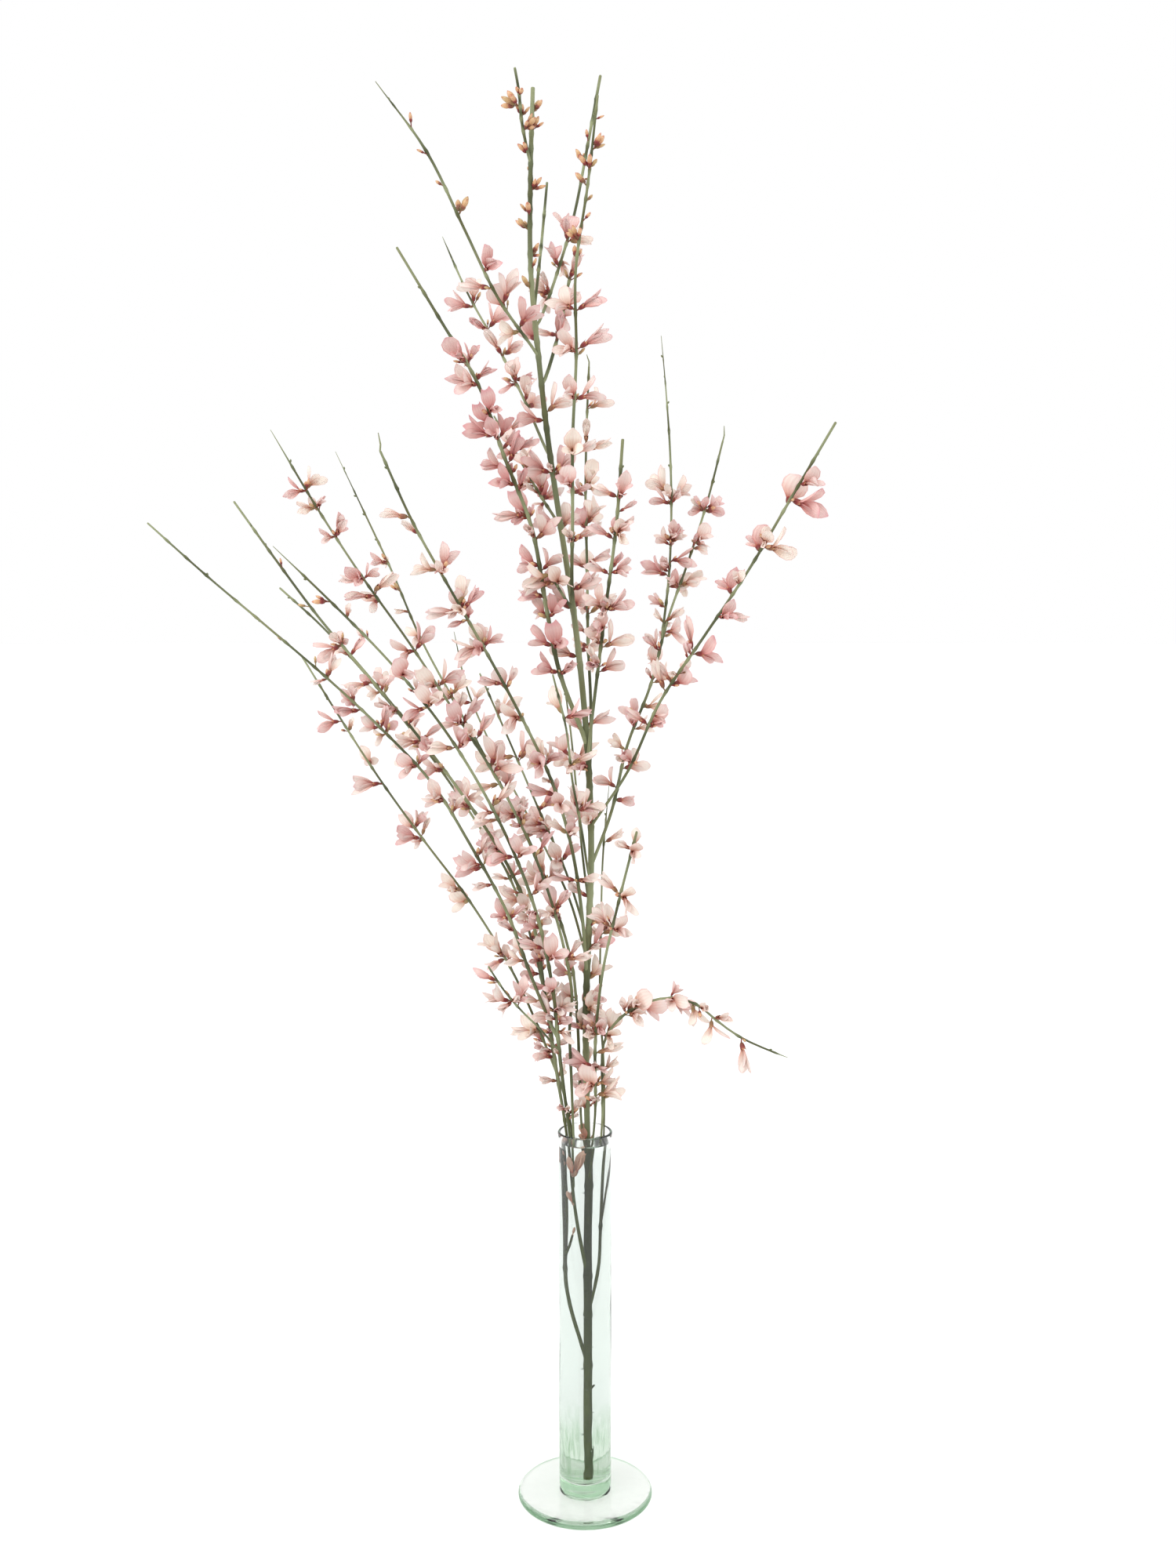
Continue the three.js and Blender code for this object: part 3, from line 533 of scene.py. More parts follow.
def petal(name, length, half_width, columns, rows, bend, arch, curl=0, tip=-0.3):
    """A petal: a flat grid set out row by row, rolled across and arched along.

    Rows are each how far along and how wide, as parts of the length and of the full width.
    Bend is the angle that each side is rolled up by, arch how far the middle of the line from
    claw to tip rises, curl how far the tip leans out again, and tip how far its corners stand
    beyond its middle, below nothing on a rounded tip.
    """
    deselect()
    last = len(rows) - 1
    bpy.ops.mesh.primitive_grid_add(x_subdivisions=columns, y_subdivisions=last, size=1)
    obj = bpy.context.active_object
    bpy.ops.object.mode_set(mode="EDIT")
    for column in range(columns + 1):
        across = column / columns - 0.5
        select_where(lambda co: abs(co.x - across) < 0.01)
        rolled = math.sin(2 * across * bend) / (2 * bend)
        raised = (1 - math.cos(2 * across * bend)) / (2 * bend)
        bpy.ops.transform.translate(value=(rolled - across, 0, raised))
    for row, (along, wide) in enumerate(rows):
        grid_row = row / last - 0.5
        select_where(lambda co: abs(co.y - grid_row) < 0.01)
        width = 2 * half_width * wide
        bpy.ops.transform.resize(value=(width, 1, width), center_override=(0, grid_row, 0))
        rise = arch * math.sin(math.pi * along) + curl * along ** 3
        bpy.ops.transform.translate(value=(0, ASIDE + length * along - grid_row, rise * length))
    for column in range(columns + 1):
        across = 2 * column / columns - 1
        side = half_width * rows[-1][1] * math.sin(across * bend) / bend
        select_where(lambda co: co.y > ASIDE + length * 0.98 and abs(co.x - side) < 0.01)
        bpy.ops.transform.translate(value=(0, tip * half_width * rows[-1][1] * across ** 2, 0))
    bpy.ops.mesh.select_all(action="SELECT")
    bpy.ops.transform.translate(value=(0, -ASIDE, 0))
    bpy.ops.object.mode_set(mode="OBJECT")
    shell = obj.modifiers.new("thickness", "SOLIDIFY")
    shell.thickness = PETAL_THICKNESS
    shell.offset = 0
    bpy.ops.object.modifier_apply(modifier=shell.name)
    bpy.ops.object.mode_set(mode="EDIT")
    return master(finish_shape(obj, name))


def turned(name, sides, rings, teeth=0, reach=1):
    """A closed round shape along +Y, from rings of radius and height.

    Teeth is how far every other corner of the rim stands up. Reach is how far up its pattern it goes.
    """
    deselect()
    first = rings[0]
    bpy.ops.mesh.primitive_circle_add(vertices=sides, radius=first[0], fill_type="NGON")
    obj = bpy.context.active_object
    bpy.ops.object.mode_set(mode="EDIT")
    bpy.ops.transform.translate(value=(0, 0, first[1]))
    for (radius, height), (next_radius, next_height) in zip(rings, rings[1:]):
        bpy.ops.mesh.extrude_region_move(
            TRANSFORM_OT_translate={"value": (0, 0, next_height - height)})
        scale = next_radius / radius
        bpy.ops.transform.resize(value=(scale, scale, 1), center_override=(0, 0, next_height))
    if teeth:
        rim = max(rings)[1]
        select_where(lambda co: abs(co.z - rim) < 0.01 and math.cos(math.atan2(co.y, co.x) * sides / 2) > 0)
        bpy.ops.transform.translate(value=(0, 0, teeth))
    mesh = bmesh.from_edit_mesh(obj.data)
    uv = mesh.loops.layers.uv.verify()
    tallest = max(height for radius, height in rings)
    for face in mesh.faces:
        for loop in face.loops:
            co = loop.vert.co
            loop[uv].uv = (0.5 + math.atan2(co.x, co.y) / (2 * math.pi), reach * co.z / tallest)
    for corner in mesh.verts:
        x, y, z = corner.co
        corner.co = (x, z, -y)
    bmesh.update_edit_mesh(obj.data)
    return master(finish_shape(obj, name))


def flower_parts():
    """The shapes that every flower is put together from."""
    return SimpleNamespace(
        standard=petal("open_standard", 10.5, 5.2, 4,
                       [(0, 0.14), (0.14, 0.42), (0.36, 0.92), (0.62, 1), (0.86, 0.78), (1, 0.4)],
                       -0.6, -0.05, -0.06),
        hood=petal("folded_standard", 12, 4.3, 4,
                   [(0, 0.14), (0.16, 0.36), (0.4, 0.78), (0.66, 1), (0.88, 0.8), (1, 0.28)],
                   -0.95, 0.04, -0.1),
        wing=petal("wing", 11.8, 2.5, 4,
                   [(0, 0.18), (0.16, 0.38), (0.4, 0.78), (0.68, 1), (0.88, 0.8), (1, 0.34)],
                   0.45, 0.05, -0.06),
        pointed_hood=petal("pointed_folded_standard", 12.5, 4.2, 4,
                           [(0, 0.14), (0.16, 0.4), (0.42, 0.9), (0.66, 0.96), (0.86, 0.6), (1, 0.08)],
                           -0.8, 0.05, 0.06),
        notched=petal("notched_standard", 10.8, 5, 4,
                      [(0, 0.14), (0.14, 0.4), (0.38, 0.86), (0.64, 1), (0.86, 0.9), (1, 0.56)],
                      -0.75, -0.04, -0.1, 0.5),
        pointed_wing=petal("pointed_wing", 12.4, 2.6, 4,
                           [(0, 0.18), (0.16, 0.42), (0.4, 0.9), (0.64, 0.98), (0.85, 0.62), (1, 0.1)],
                           0.5, 0.07, 0.05),
        keel=petal("keel", 10, 2.3, 4,
                   [(0, 0.2), (0.16, 0.5), (0.4, 0.9), (0.64, 1), (0.86, 0.7), (1, 0.14)],
                   1.0, 0.06, 0.1),
        calyx=turned("calyx", 8, [(0.36, 0), (0.86, 0.6), (1.16, 1.6), (1.3, 2.8), (1.05, 2.6), (0.7, 1.6)],
                     teeth=1.3, reach=0.36),
        bud=turned("bud", 6, [(0.32, 0), (0.86, 0.6), (1.12, 1.5), (1.14, 2.3), (1.0, 2.6),
                              (1.2, 3.8), (1.08, 5), (0.68, 6.2), (0.16, 7)]),
        stalk=turned("stalk", 5, [(1, 0), (0.74, 0.4), (0.9, 1)], reach=0.24))


def placed(origin, across, along, size, thick=None, slant=0):
    """The matrix that puts a master on a point, its X across, its Y along, in metres.

    Thick is its size across, where that isn't its size along. Slant is how far its tip leans over
    to one side, for each part of its length.
    """
    along = unit(along)
    across = unit(across - along * (across @ along))
    up = np.cross(across, along)
    thick = thick or size
    columns = (across * thick, (along + slant * across) * size, up * thick, origin)
    return Matrix([[*(MM * float(column[i]) for column in columns)] for i in range(3)]
                  + [[0, 0, 0, 1]])


class Heap:
    """Copies of masters, gathered into one piece."""

    def __init__(self):
        self.mesh = bmesh.new()

    def add(self, shape, matrix, tint=(0, 0, 0)):
        copy = shape.copy()
        copy.transform(matrix)
        copy.attributes["tint"].data.foreach_set("color", [*tint, 1] * len(copy.vertices))
        self.mesh.from_mesh(copy)
        bpy.data.meshes.remove(copy)

    def piece(self, name, material, nodes, slot):
        mesh = bpy.data.meshes.new(name)
        self.mesh.to_mesh(mesh)
        self.mesh.free()
        obj = bpy.data.objects.new(name, mesh)
        bpy.context.collection.objects.link(obj)
        return dress(obj, material, nodes)


def dress(obj, material, nodes):
    """Gives a finished piece its material and its body, and hides the solids of the nodes that it stands
    for.
    """
    obj.data.materials.clear()
    obj.data.materials.append(material)
    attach(obj, "root")
    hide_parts(*nodes)
    return obj


# Stems: smooth five-ridged rods, a little thicker at each joint, where more rings lie. Most end in
# a blunt cut. Some run out in a fine point, so many millimetres long, and some in a short dried twist.
STEM_SIDES = 10
RIDGE_DEPTH = 0.08
STEM_STEP = 7
JOINT_SWELL = 0.28
JOINT_LENGTH = 1.5
FINE_POINT = 0.3
JOINT_RINGS = (-1.6, -0.7, 0, 0.7, 1.6)
RINGS_LEAST_APART = 0.3
BLUNT_END = 0.75
DRIED_NECK = 0.42
DRIED_END = 0.2
# How thick each stem is drawn beside its solid: the main one at each height, and a side stem inside
# the vase, above it and at its tip.
MAIN_SHARE = ([10, 190, 260, 460, 600, 700], [0.87, 0.84, 1.0, 1.1, 1.15, 1.1])
SHARE_IN_VASE = 0.56
SHARE_ABOVE = 0.82
STILL_SLIM = 196
FULL_ABOVE = 236
TIP_SHARE = 0.8
TIP_SHARES = {"crown_left_spray": 1.08, "crown_back_spray": 1.15, "low_right_spray": 1.08,
              "left_fork_spray": 1.0, "middle_left_spray": 0.95, "back_right_spray": 0.92,
              "front_right_spray": 0.9, "upper_right_spray": 0.92, "dense_left_spray": 0.9,
              "left_back_fork_spray": 0.92}
# A side stem's foot is drawn to the middle of the stem that bears it, over about this length.
ROOT_DRAWN = 7
FINE_TIPS = {("crown_left_spray", 0): 34, ("back_right_spray", 1): 60, ("tall_left_back_spray", 0): 50,
             ("tall_left_front_spray", 0): 22, ("upper_left_spray", 0): 14, ("arching_spray", 0): 10,
             ("left_front_fork_spray", 0): 24, ("thin_back_spray", 0): 20, ("inner_back_spray", 0): 20,
             ("thin_right_spray", 0): 30}
DRIED_TIPS = {("middle_left_spray", 0): (-0.8, 0.5, 8), ("back_right_spray", 0): (0.6, 0, 8),
              ("upper_back_spray", 0): (-1.2, -0.5, 6)}

# Where two side stems really start: lower down than their solids do, beside the others in the neck.
LOWER_RUNS = {"tall_left_front_spray": [[-5, -5, 172], [-6, -8, 199], [-7, -9, 228], [-8, -9, 256]],
              "tall_left_back_spray": [[1, 0, 176], [-2, 4, 203], [-3, 6, 230], [-4, 7, 256]]}


def smooth_path(path, lower=None):
    """The smooth line through a path's corners, with a place for each part of its length."""
    steps = max(2, math.ceil(path.total / (len(path.points) - 1) / STEM_STEP))
    corners = path.points
    if lower:
        corners = np.vstack([lower, path.points[1:]])
    return SimpleNamespace(line=measured(smooth_line(corners, steps)), path=path, steps=steps,
                           added=len(corners) - len(path.points))


def on_smooth(smooth, part):
    """The point of a smooth stem that lies beside a part of its coarse path."""
    path = smooth.path
    i = min(max(int(np.searchsorted(path.lengths, part * path.total)), 1), len(path.points) - 1)
    share = (part * path.total - path.lengths[i - 1]) / (path.lengths[i] - path.lengths[i - 1])
    t = (i - 1 + smooth.added + share) * smooth.steps
    low = min(int(t), len(smooth.line.points) - 2)
    return smooth.line.points[low] + (t - low) * (smooth.line.points[low + 1] - smooth.line.points[low])


def nearest_part(path, point):
    """The part of a path's length that comes nearest to a point."""
    parts = np.linspace(0, 1, 201)
    return min(parts, key=lambda part: np.linalg.norm(place_on(path, part).point - point))


def share_at(name, place, point):
    """How thick a stem is drawn at a place, beside its solid."""
    if name == "main_stem":
        return np.interp(point[2], *MAIN_SHARE)
    rising = min(max((point[2] - STILL_SLIM) / (FULL_ABOVE - STILL_SLIM), 0), 1)
    above = SHARE_ABOVE + (TIP_SHARES.get(name, TIP_SHARE) - SHARE_ABOVE) * place ** 2
    return SHARE_IN_VASE + (above - SHARE_IN_VASE) * rising


def draw_root(line, bearer):
    """Leads a stem's foot into the middle of its bearer, so that the two join as one."""
    nearest = bearer.points[np.argmin(np.linalg.norm(bearer.points - line.points[0], axis=1))]
    way = nearest - line.points[0]
    fading = np.exp(-line.lengths / ROOT_DRAWN)
    line.points = line.points + fading[:, None] * way


def stem_rings(name, smooth, joints, fine, dried):
    """The rings of one stem: their points and radii, closer together at its joints."""
    line, total = smooth.line, smooth.line.total
    joint_places = [line.lengths[np.argmin(np.linalg.norm(line.points - on_smooth(smooth, joint), axis=1))]
                    for joint in joints]
    places = list(line.lengths)
    for joint in joint_places:
        places += [min(max(joint + shift * JOINT_LENGTH, 0), total) for shift in JOINT_RINGS]
    if fine:
        places += [total - fine * share for share in (0.75, 0.5, 0.25, 0.1)]
    places += [total - 0.5]
    kept = []
    for place in sorted(places):
        if not kept or place - kept[-1] > RINGS_LEAST_APART:
            kept.append(place)
    kept[-1] = total
    rings = []
    for place in kept:
        radius = smooth.path.radii[0] + (smooth.path.radii[1] - smooth.path.radii[0]) * place / total
        point = place_on(line, place / total).point
        radius *= share_at(name, place / total, point)
        nearest = min((abs(place - joint) for joint in joint_places), default=99)
        radius += JOINT_SWELL * math.exp(-(nearest / JOINT_LENGTH) ** 2)
        if fine:
            radius *= min(1, FINE_POINT + (1 - FINE_POINT) * (total - place) / fine)
        rings.append((point, radius))
    if dried is not None:
        tip = rings[-1][0]
        rings[-1] = (tip, rings[-1][1] * 0.8)
        rings.append((tip + 0.35 * np.array(dried) + [0.5, 0, 0], DRIED_NECK))
        rings.append((tip + np.array(dried), DRIED_END))
    elif not fine:
        rings[-1] = (rings[-1][0], rings[-1][1] * BLUNT_END)
    return rings


def ridged_outline():
    """The stem's cross-section, a ring with five low ridges, one millimetre in radius."""
    curve = bpy.data.curves.new("stem_section", "CURVE")
    curve.dimensions = "2D"
    ring = curve.splines.new("POLY")
    ring.points.add(STEM_SIDES - 1)
    for i, point in enumerate(ring.points):
        angle = -2 * math.pi * i / STEM_SIDES
        reach = MM * (1 - RIDGE_DEPTH * (i % 2))
        point.co = (reach * math.cos(angle), reach * math.sin(angle), 0, 1)
    ring.use_cyclic_u = True
    obj = bpy.data.objects.new("stem_section", curve)
    bpy.context.collection.objects.link(obj)
    return obj


def stem_piece(name, stems_rings, section):
    """All stems of a spray, each a curve with the ridged section drawn along it, made one mesh."""
    curve = bpy.data.curves.new(name, "CURVE")
    curve.dimensions = "3D"
    curve.bevel_mode = "OBJECT"
    curve.bevel_object = section
    curve.use_fill_caps = True
    for rings in stems_rings:
        line = curve.splines.new("POLY")
        line.points.add(len(rings) - 1)
        for point, (place, radius) in zip(line.points, rings):
            point.co = (*(MM * place), 1)
            point.radius = radius
    obj = bpy.data.objects.new(name, curve)
    bpy.context.collection.objects.link(obj)
    deselect()
    obj.select_set(True)
    bpy.context.view_layer.objects.active = obj
    bpy.ops.object.convert(target="MESH")
    obj = bpy.context.active_object
    bpy.ops.object.mode_set(mode="EDIT")
    return finish_shape(obj, name, 80)


# The small flowers between the large ones, which the solids leave out: how many for each large one,
# how many a joint gets on average, and the range of what it draws.
MORE_SEED = 5
MORE_FLOWERS = 0.5
PER_JOINT = 1.7
JOINT_RANGE = 2.4
MORE_MAY_OVERLAP = -0.9
MORE_ON = {"dense_left_spray": 0.2, "crown_front_spray": 0.2, "upper_left_spray": 0.2, "main_stem": 0.1,
           "crown_left_spray": 0.1, "crown_back_spray": 0.2}
# Stretches that carry many of them: the spray, which of its stems, from, to and how many joints.
CROWDED = [
    ("main_stem", 0, 0.26, 0.37, 9), ("left_fork_spray", 0, 0.25, 0.38, 5),
    ("left_fork_spray", 0, 0.62, 0.86, 4), ("left_fork_spray", 1, 0.02, 0.3, 4),
    ("left_fork_spray", 1, 0.45, 0.88, 4), ("left_back_fork_spray", 0, 0.2, 0.3, 2),
    ("left_front_fork_spray", 0, 0.2, 0.45, 5), ("left_front_fork_spray", 0, 0.74, 0.93, 4),
    ("left_front_fork_spray", 1, 0.02, 0.4, 6), ("left_front_fork_spray", 1, 0.5, 0.7, 4),
    ("tall_left_front_spray", 0, 0.7, 0.93, 5), ("tall_left_back_spray", 0, 0, 0.1, 2),
    ("tall_left_back_spray", 0, 0.7, 0.85, 2), ("middle_left_spray", 0, 0.25, 0.9, 8),
    ("back_right_spray", 0, 0.2, 0.9, 6), ("back_right_spray", 1, 0, 0.45, 7),
    ("front_right_spray", 0, 0.1, 0.95, 7), ("dense_left_spray", 0, 0.3, 0.75, 5),
    ("short_left_spray", 0, 0.1, 0.5, 3), ("upper_right_spray", 0, 0.25, 0.85, 5),
    ("low_right_spray", 0, 0.2, 0.5, 4), ("arching_spray", 0, 0.35, 0.5, 3)]


def grow_joint(spray, path, part, random, room):
    """Sets one to three small flowers at one joint."""
    for i in range(1 + int(JOINT_RANGE * random())):
        draws = SimpleNamespace(lift=random(), open=0.85 * random(), sink=random(), spread=random(),
                                size=-1.5 * random(), shift=random())
        beside = part + (2 * random() - 1) / path.total
        grow(spray, path, beside, 2 * math.pi * random(), draws, False, room, MORE_MAY_OVERLAP)


def grow_more(sprays, room):
    """Adds the small flowers, at the joints of the large ones and at some of their own."""
    random = seeded(MORE_SEED)
    for spray in sprays:
        for plan, path in zip(spray.stems, spray.paths):
            taken = [f.part for f in spray.grown if f.path is path and not f.bud]
            for first, last, count in plan.flowers:
                for i in range(round(count * MORE_ON.get(spray.name, MORE_FLOWERS) / PER_JOINT)):
                    own = first + (last - first) * random()
                    joint = taken[int(random() * len(taken))] if random() < 0.5 else own
                    grow_joint(spray, path, joint, random, room)
    by_name = {spray.name: spray for spray in sprays}
    for name, number, first, last, count in CROWDED:
        spray = by_name[name]
        for i in range(count):
            part = first + (last - first) * (i + random()) / count
            grow_joint(spray, spray.paths[number], part, random, room)


# A shade for each flower: how pink and how creamy it is, from 0 to 1, and how brown with water.
LOOKS_SEED = 7
PINKEST = {"arching_spray": 0.05, "low_right_spray": 0.15, "dense_left_spray": 0.75,
           "crown_front_spray": 0.45, "upper_left_spray": 0.5, "crown_left_spray": 0.45,
           "upper_right_spray": 0.45, "front_right_spray": 0.4}
PINK = 0.3
DRENCHED = WATER_LEVEL + 8
CALYX_DEPTH = 2.6
PLUMP_BUDS = 0.6
SCAR_STEP = 15
SCAR_LENGTH = 0.22
SCAR_WIDTH = 0.42
# Below the first a flower is still folded, and below the second it is slim as well.
FOLDED_BELOW = 0.76
SLIM_BELOW = 0.34
# How often a flower has a bud beside it, on either side.
BUD_BESIDE = 0.25

# Sprays whose last flowers are wide open round shells: from which part on, and how large they are.
SHELLS_FROM = {"front_right_spray": 0.62}
SHELL = 1
SHELL_SIZE = 1.15

# Flowers crowd together along a stem in clumps, about so far apart, and each clump pulls this strongly.
CLUMPS_APART = (22, 35)
CLUMP_PULL = (0.6, 0.3)


def clamped(value):
    return min(max(value, 0), 1)


def clumped(part, total, phase):
    """The place of a flower after the nearest clump has drawn it nearer."""
    along = part * total
    for apart, pull in zip(CLUMPS_APART, CLUMP_PULL):
        along -= pull * apart / (2 * math.pi) * math.sin(2 * math.pi * part * total / apart + phase)
    return min(max(along / total, 0.005), 0.995)


def flower_copies(f, shift, looks, pink, heaps, shapes):
    """Puts one flower together: its stalk, calyx, standard, wings and keel, each a shade of its own."""
    root = f.root + shift
    heart = f.heart + shift
    size = f.size
    pinkness = clamped(pink + 0.9 * (looks() - 0.5))
    cream = clamped(0.7 - pinkness + 0.6 * (looks() - 0.5))
    brown = 1 if root[2] < DRENCHED else 0

    def shade():
        return clamped(pinkness + 0.5 * (looks() - 0.5)), clamped(cream + 0.5 * (looks() - 0.5)), brown

    foot = heart - f.forward * CALYX_DEPTH * size
    heaps.calyces.add(shapes.stalk, placed(root, f.across, foot - root,
                                           float(np.linalg.norm(foot - root)) + 0.2, 0.4), shade())
    heaps.calyces.add(shapes.calyx, placed(foot, f.across, f.forward, size), shade())
    mouth = heart - f.forward * 0.5 * size
    kind = f.draws.open
    folded = kind < FOLDED_BELOW
    slim = kind < SLIM_BELOW
    pointed = looks() < 0.5 and kind < SHELL
    if slim:
        way = f.forward + f.rise * 0.15
    elif folded:
        way = f.standard
    else:
        way = f.standard + f.rise * 0.45
    if folded:
        shape = shapes.pointed_hood if pointed else shapes.hood
    else:
        shape = shapes.notched if pointed else shapes.standard
    broad = size * (0.6 if slim else 0.85 + 0.3 * looks())
    heaps.petals.add(shape, placed(mouth, f.across, way, size, broad, 0.3 * (looks() - 0.5)), shade())
    for side in (1, -1):
        spread = side * (0.1 if slim else 0.12 + 0.35 * f.spread * looks())
        dip = 0.4 * (looks() - 0.5) if not slim else 0.1
        way = unit(f.keel + f.across * spread + f.keel_rise * dip)
        turn = 0.9 + 0.6 * looks()
        across = f.across * math.cos(turn) + f.keel_rise * side * math.sin(turn)
        slender = size * (0.82 + 0.45 * looks()) * (0.8 if slim else 1)
        wing = shapes.pointed_wing if looks() < 0.5 else shapes.wing
        heaps.petals.add(wing, placed(mouth, across, way, size * (0.8 + 0.3 * looks()), slender,
                                      0.5 * (looks() - 0.5)), shade())
    keel = f.keel - f.keel_rise * (0 if slim else 0.35 * looks())
    heaps.petals.add(shapes.keel, placed(mouth, f.across, keel, size * 0.95), shade())


def bud_copies(root, across, forward, size, stalk, looks, pink, heaps, shapes):
    """Puts one bud on its stalk."""
    tint = (clamped(pink + 0.8 * (looks() - 0.5)), looks(), 1 if root[2] < DRENCHED else 0)
    forward = unit(forward)
    heaps.calyces.add(shapes.stalk, placed(root, across, forward, stalk + 0.2, 0.34), tint)
    foot = root + forward * stalk
    heaps.calyces.add(shapes.bud, placed(foot, across, forward, size, size * (0.9 + 0.4 * looks())), tint)


def bud_cluster(f, shift, looks, pink, heaps, shapes):
    """Sets one small bud, or a few plump ones, the foremost in the place of the solid's bud."""
    root = f.root + shift
    plump = looks() < PLUMP_BUDS
    size = f.size * (0.95 if plump else 0.6)
    bud_copies(root, f.across, f.forward, size, BUD_STALK_LENGTH * f.size, looks, pink, heaps, shapes)
    start = root + f.forward * 0.9 * f.size
    for i in range(1 + int(2.6 * looks()) if plump else 0):
        turn = 2.2 * i + looks()
        lean = f.across * math.cos(turn) + f.rise * math.sin(turn)
        way = f.forward + lean * (0.5 + 0.5 * looks())
        bud_copies(start, f.rise, way, (0.65 + 0.3 * looks()) * f.size, 1 + 1.5 * looks(), looks, pink,
                   heaps, shapes)


def scars(path, parts, looks):
    """The scars of fallen leaves, one at each joint of the bare stretch above the last flower."""
    found = []
    part = max(parts, default=0.3) + SCAR_STEP / path.total
    while part < 1 - 8 / path.total:
        place = place_on(path, part)
        turn = 2 * math.pi * looks()
        out = place.side * math.cos(turn) + place.other * math.sin(turn)
        found.append((part, out, place))
        part += SCAR_STEP * (0.7 + 0.6 * looks()) / path.total
    return found


# What grows under water: the spray and its stem, how high, which way it points, and its size.
FLOWERS_IN_WATER = [("tall_left_front_spray", 0, 177, (0.25, -0.1, 1), 1.0),
                    ("tall_left_front_spray", 0, 176, (-0.2, -0.25, 1), 0.8),
                    ("left_front_fork_spray", 0, 158, (-0.35, -0.1, 1), 0.6),
                    ("left_back_fork_spray", 0, 182, (-0.3, 0, 1), 0.7)]
TWIGS_IN_WATER = [("left_fork_spray", 0, 131, (2.8, -1.5, 12.4), 0.5),
                  ("main_stem", 0, 60, (2.6, -0.6, 3.2), 0)]


def in_water(name, number, smooth, looks, heaps, shapes, rings):
    """Sets a stem's drenched flowers, and its short twigs with a bud or a bare end."""
    def at_height(height):
        return smooth.line.points[np.argmin(np.abs(smooth.line.points[:, 2] - height))]

    for owner, which, height, way, size in FLOWERS_IN_WATER:
        if (owner, which) == (name, number):
            forward = unit(np.array(way))
            across = unit(np.cross(forward, (0.3, 1, 0)))
            rise = np.cross(across, forward)
            root = at_height(height)
            f = SimpleNamespace(root=root, heart=root + forward * 4 * size, forward=forward, rise=rise,
                                across=across, standard=unit(forward + 0.25 * rise), keel=forward,
                                keel_rise=rise, spread=0.3, size=size, draws=SimpleNamespace(open=0.3))
            flower_copies(f, 0, looks, 0.1, heaps, shapes)
    for owner, which, height, offset, bud in TWIGS_IN_WATER:
        if (owner, which) == (name, number):
            start = at_height(height)
            end = start + np.array(offset)
            rings.append([(start, 0.7), ((start + end) / 2 + [0.3, 0, 0], 0.55), (end, 0.45)])
            if bud:
                bud_copies(end, np.array([1, 0, 0]), np.array([0.2, 0, 1]), bud, 1, looks, 0.4,
                           heaps, shapes)


def spray_pieces(spray, shapes, section, finishes, joints):
    """A spray's stems, petals, and calyces with buds, in place of its node."""
    looks = seeded(LOOKS_SEED + spray.number)
    pink = PINKEST.get(spray.name, PINK)
    heaps = SimpleNamespace(stems=Heap(), petals=Heap(), calyces=Heap())
    rings = []
    for number, path in enumerate(spray.paths):
        smooth = spray.smooth[number]
        carried = [f for f in spray.grown if f.path is path]
        phase = 2 * math.pi * looks()
        for f in carried:
            f.shown = f.part if f.bud else clumped(f.part, path.total, phase)
        parts = sorted({f.shown for f in carried} | {part for owner, part in joints if owner is path})
        for part, out, place in scars(path, parts, looks):
            foot = on_smooth(smooth, part) + out * 0.7 * place.radius
            heaps.stems.add(shapes.bud, placed(foot, place.side, out + 1.6 * place.along,
                                               SCAR_LENGTH, SCAR_WIDTH))
            parts.append(part)
        rings.append(stem_rings(spray.name, smooth, parts, FINE_TIPS.get((spray.name, number)),
                                DRIED_TIPS.get((spray.name, number))))
        in_water(spray.name, number, smooth, looks, heaps, shapes, rings)
        for f in carried:
            shift = on_smooth(smooth, f.shown) - place_on(path, f.part).point
            if f.bud:
                bud_cluster(f, shift, looks, pink, heaps, shapes)
                continue
            if number == 0 and f.part > SHELLS_FROM.get(spray.name, 1):
                f.draws.open = SHELL
                f.size *= SHELL_SIZE
            flower_copies(f, shift, looks, pink, heaps, shapes)
            for side in (1, -1):
                if looks() < BUD_BESIDE:
                    lean = f.leaving + 0.9 * f.across * side + 0.4 * f.rise
                    bud_copies(f.root + shift, f.rise, lean, 0.4 + 0.35 * looks(), 1.5 + 2 * looks(),
                               looks, pink, heaps, shapes)
    stems = stem_piece(spray.name + "_stems", rings, section)
    heaps.stems.mesh.from_mesh(stems.data)
    bpy.data.objects.remove(stems)
    nodes = [spray.name]
    heaps.stems.piece(spray.name + "_stems", finishes.bark, nodes, "stem")
    heaps.petals.piece(spray.name + "_petals", finishes.petal, nodes, "petal")
    heaps.calyces.piece(spray.name + "_calyces_and_buds", finishes.calyx, nodes, "petal")


def forks(sprays):
    """Makes the stems smooth and joins each to its bearer.

    Returns each bearer's path, and the part of its length where the other stem grows from it.
    """
    found = []
    by_name = {spray.name: spray for spray in sprays}
    for spray in sprays:
        spray.smooth = []
        for number, path in enumerate(spray.paths):
            smooth = smooth_path(path, LOWER_RUNS.get(spray.name) if number == 0 else None)
            spray.smooth.append(smooth)
            if number == 0 and spray.source is None:
                continue
            bearer = spray if number else by_name[spray.source]
            found.append((bearer.paths[0], nearest_part(bearer.paths[0], path.points[0])))
            if not (number == 0 and spray.name in LOWER_RUNS):
                draw_root(smooth.line, bearer.smooth[0].line)
    return found


# The vase and its water, both turned round the upright axis.
GROOVE_DEPTH = 0.7
FOOT_JOIN = 5
OVERLAP = 0.06
RINGS_APART = 3
# The wall is drawn thinner than the solid's, as the blown tube is, and so much thicker at the base.
WALL_SEEN = 1.3
WALL_MORE_LOW = 2.0
WALL_MORE_FADES = 34
INSIDE_ALL_WALLS = 8


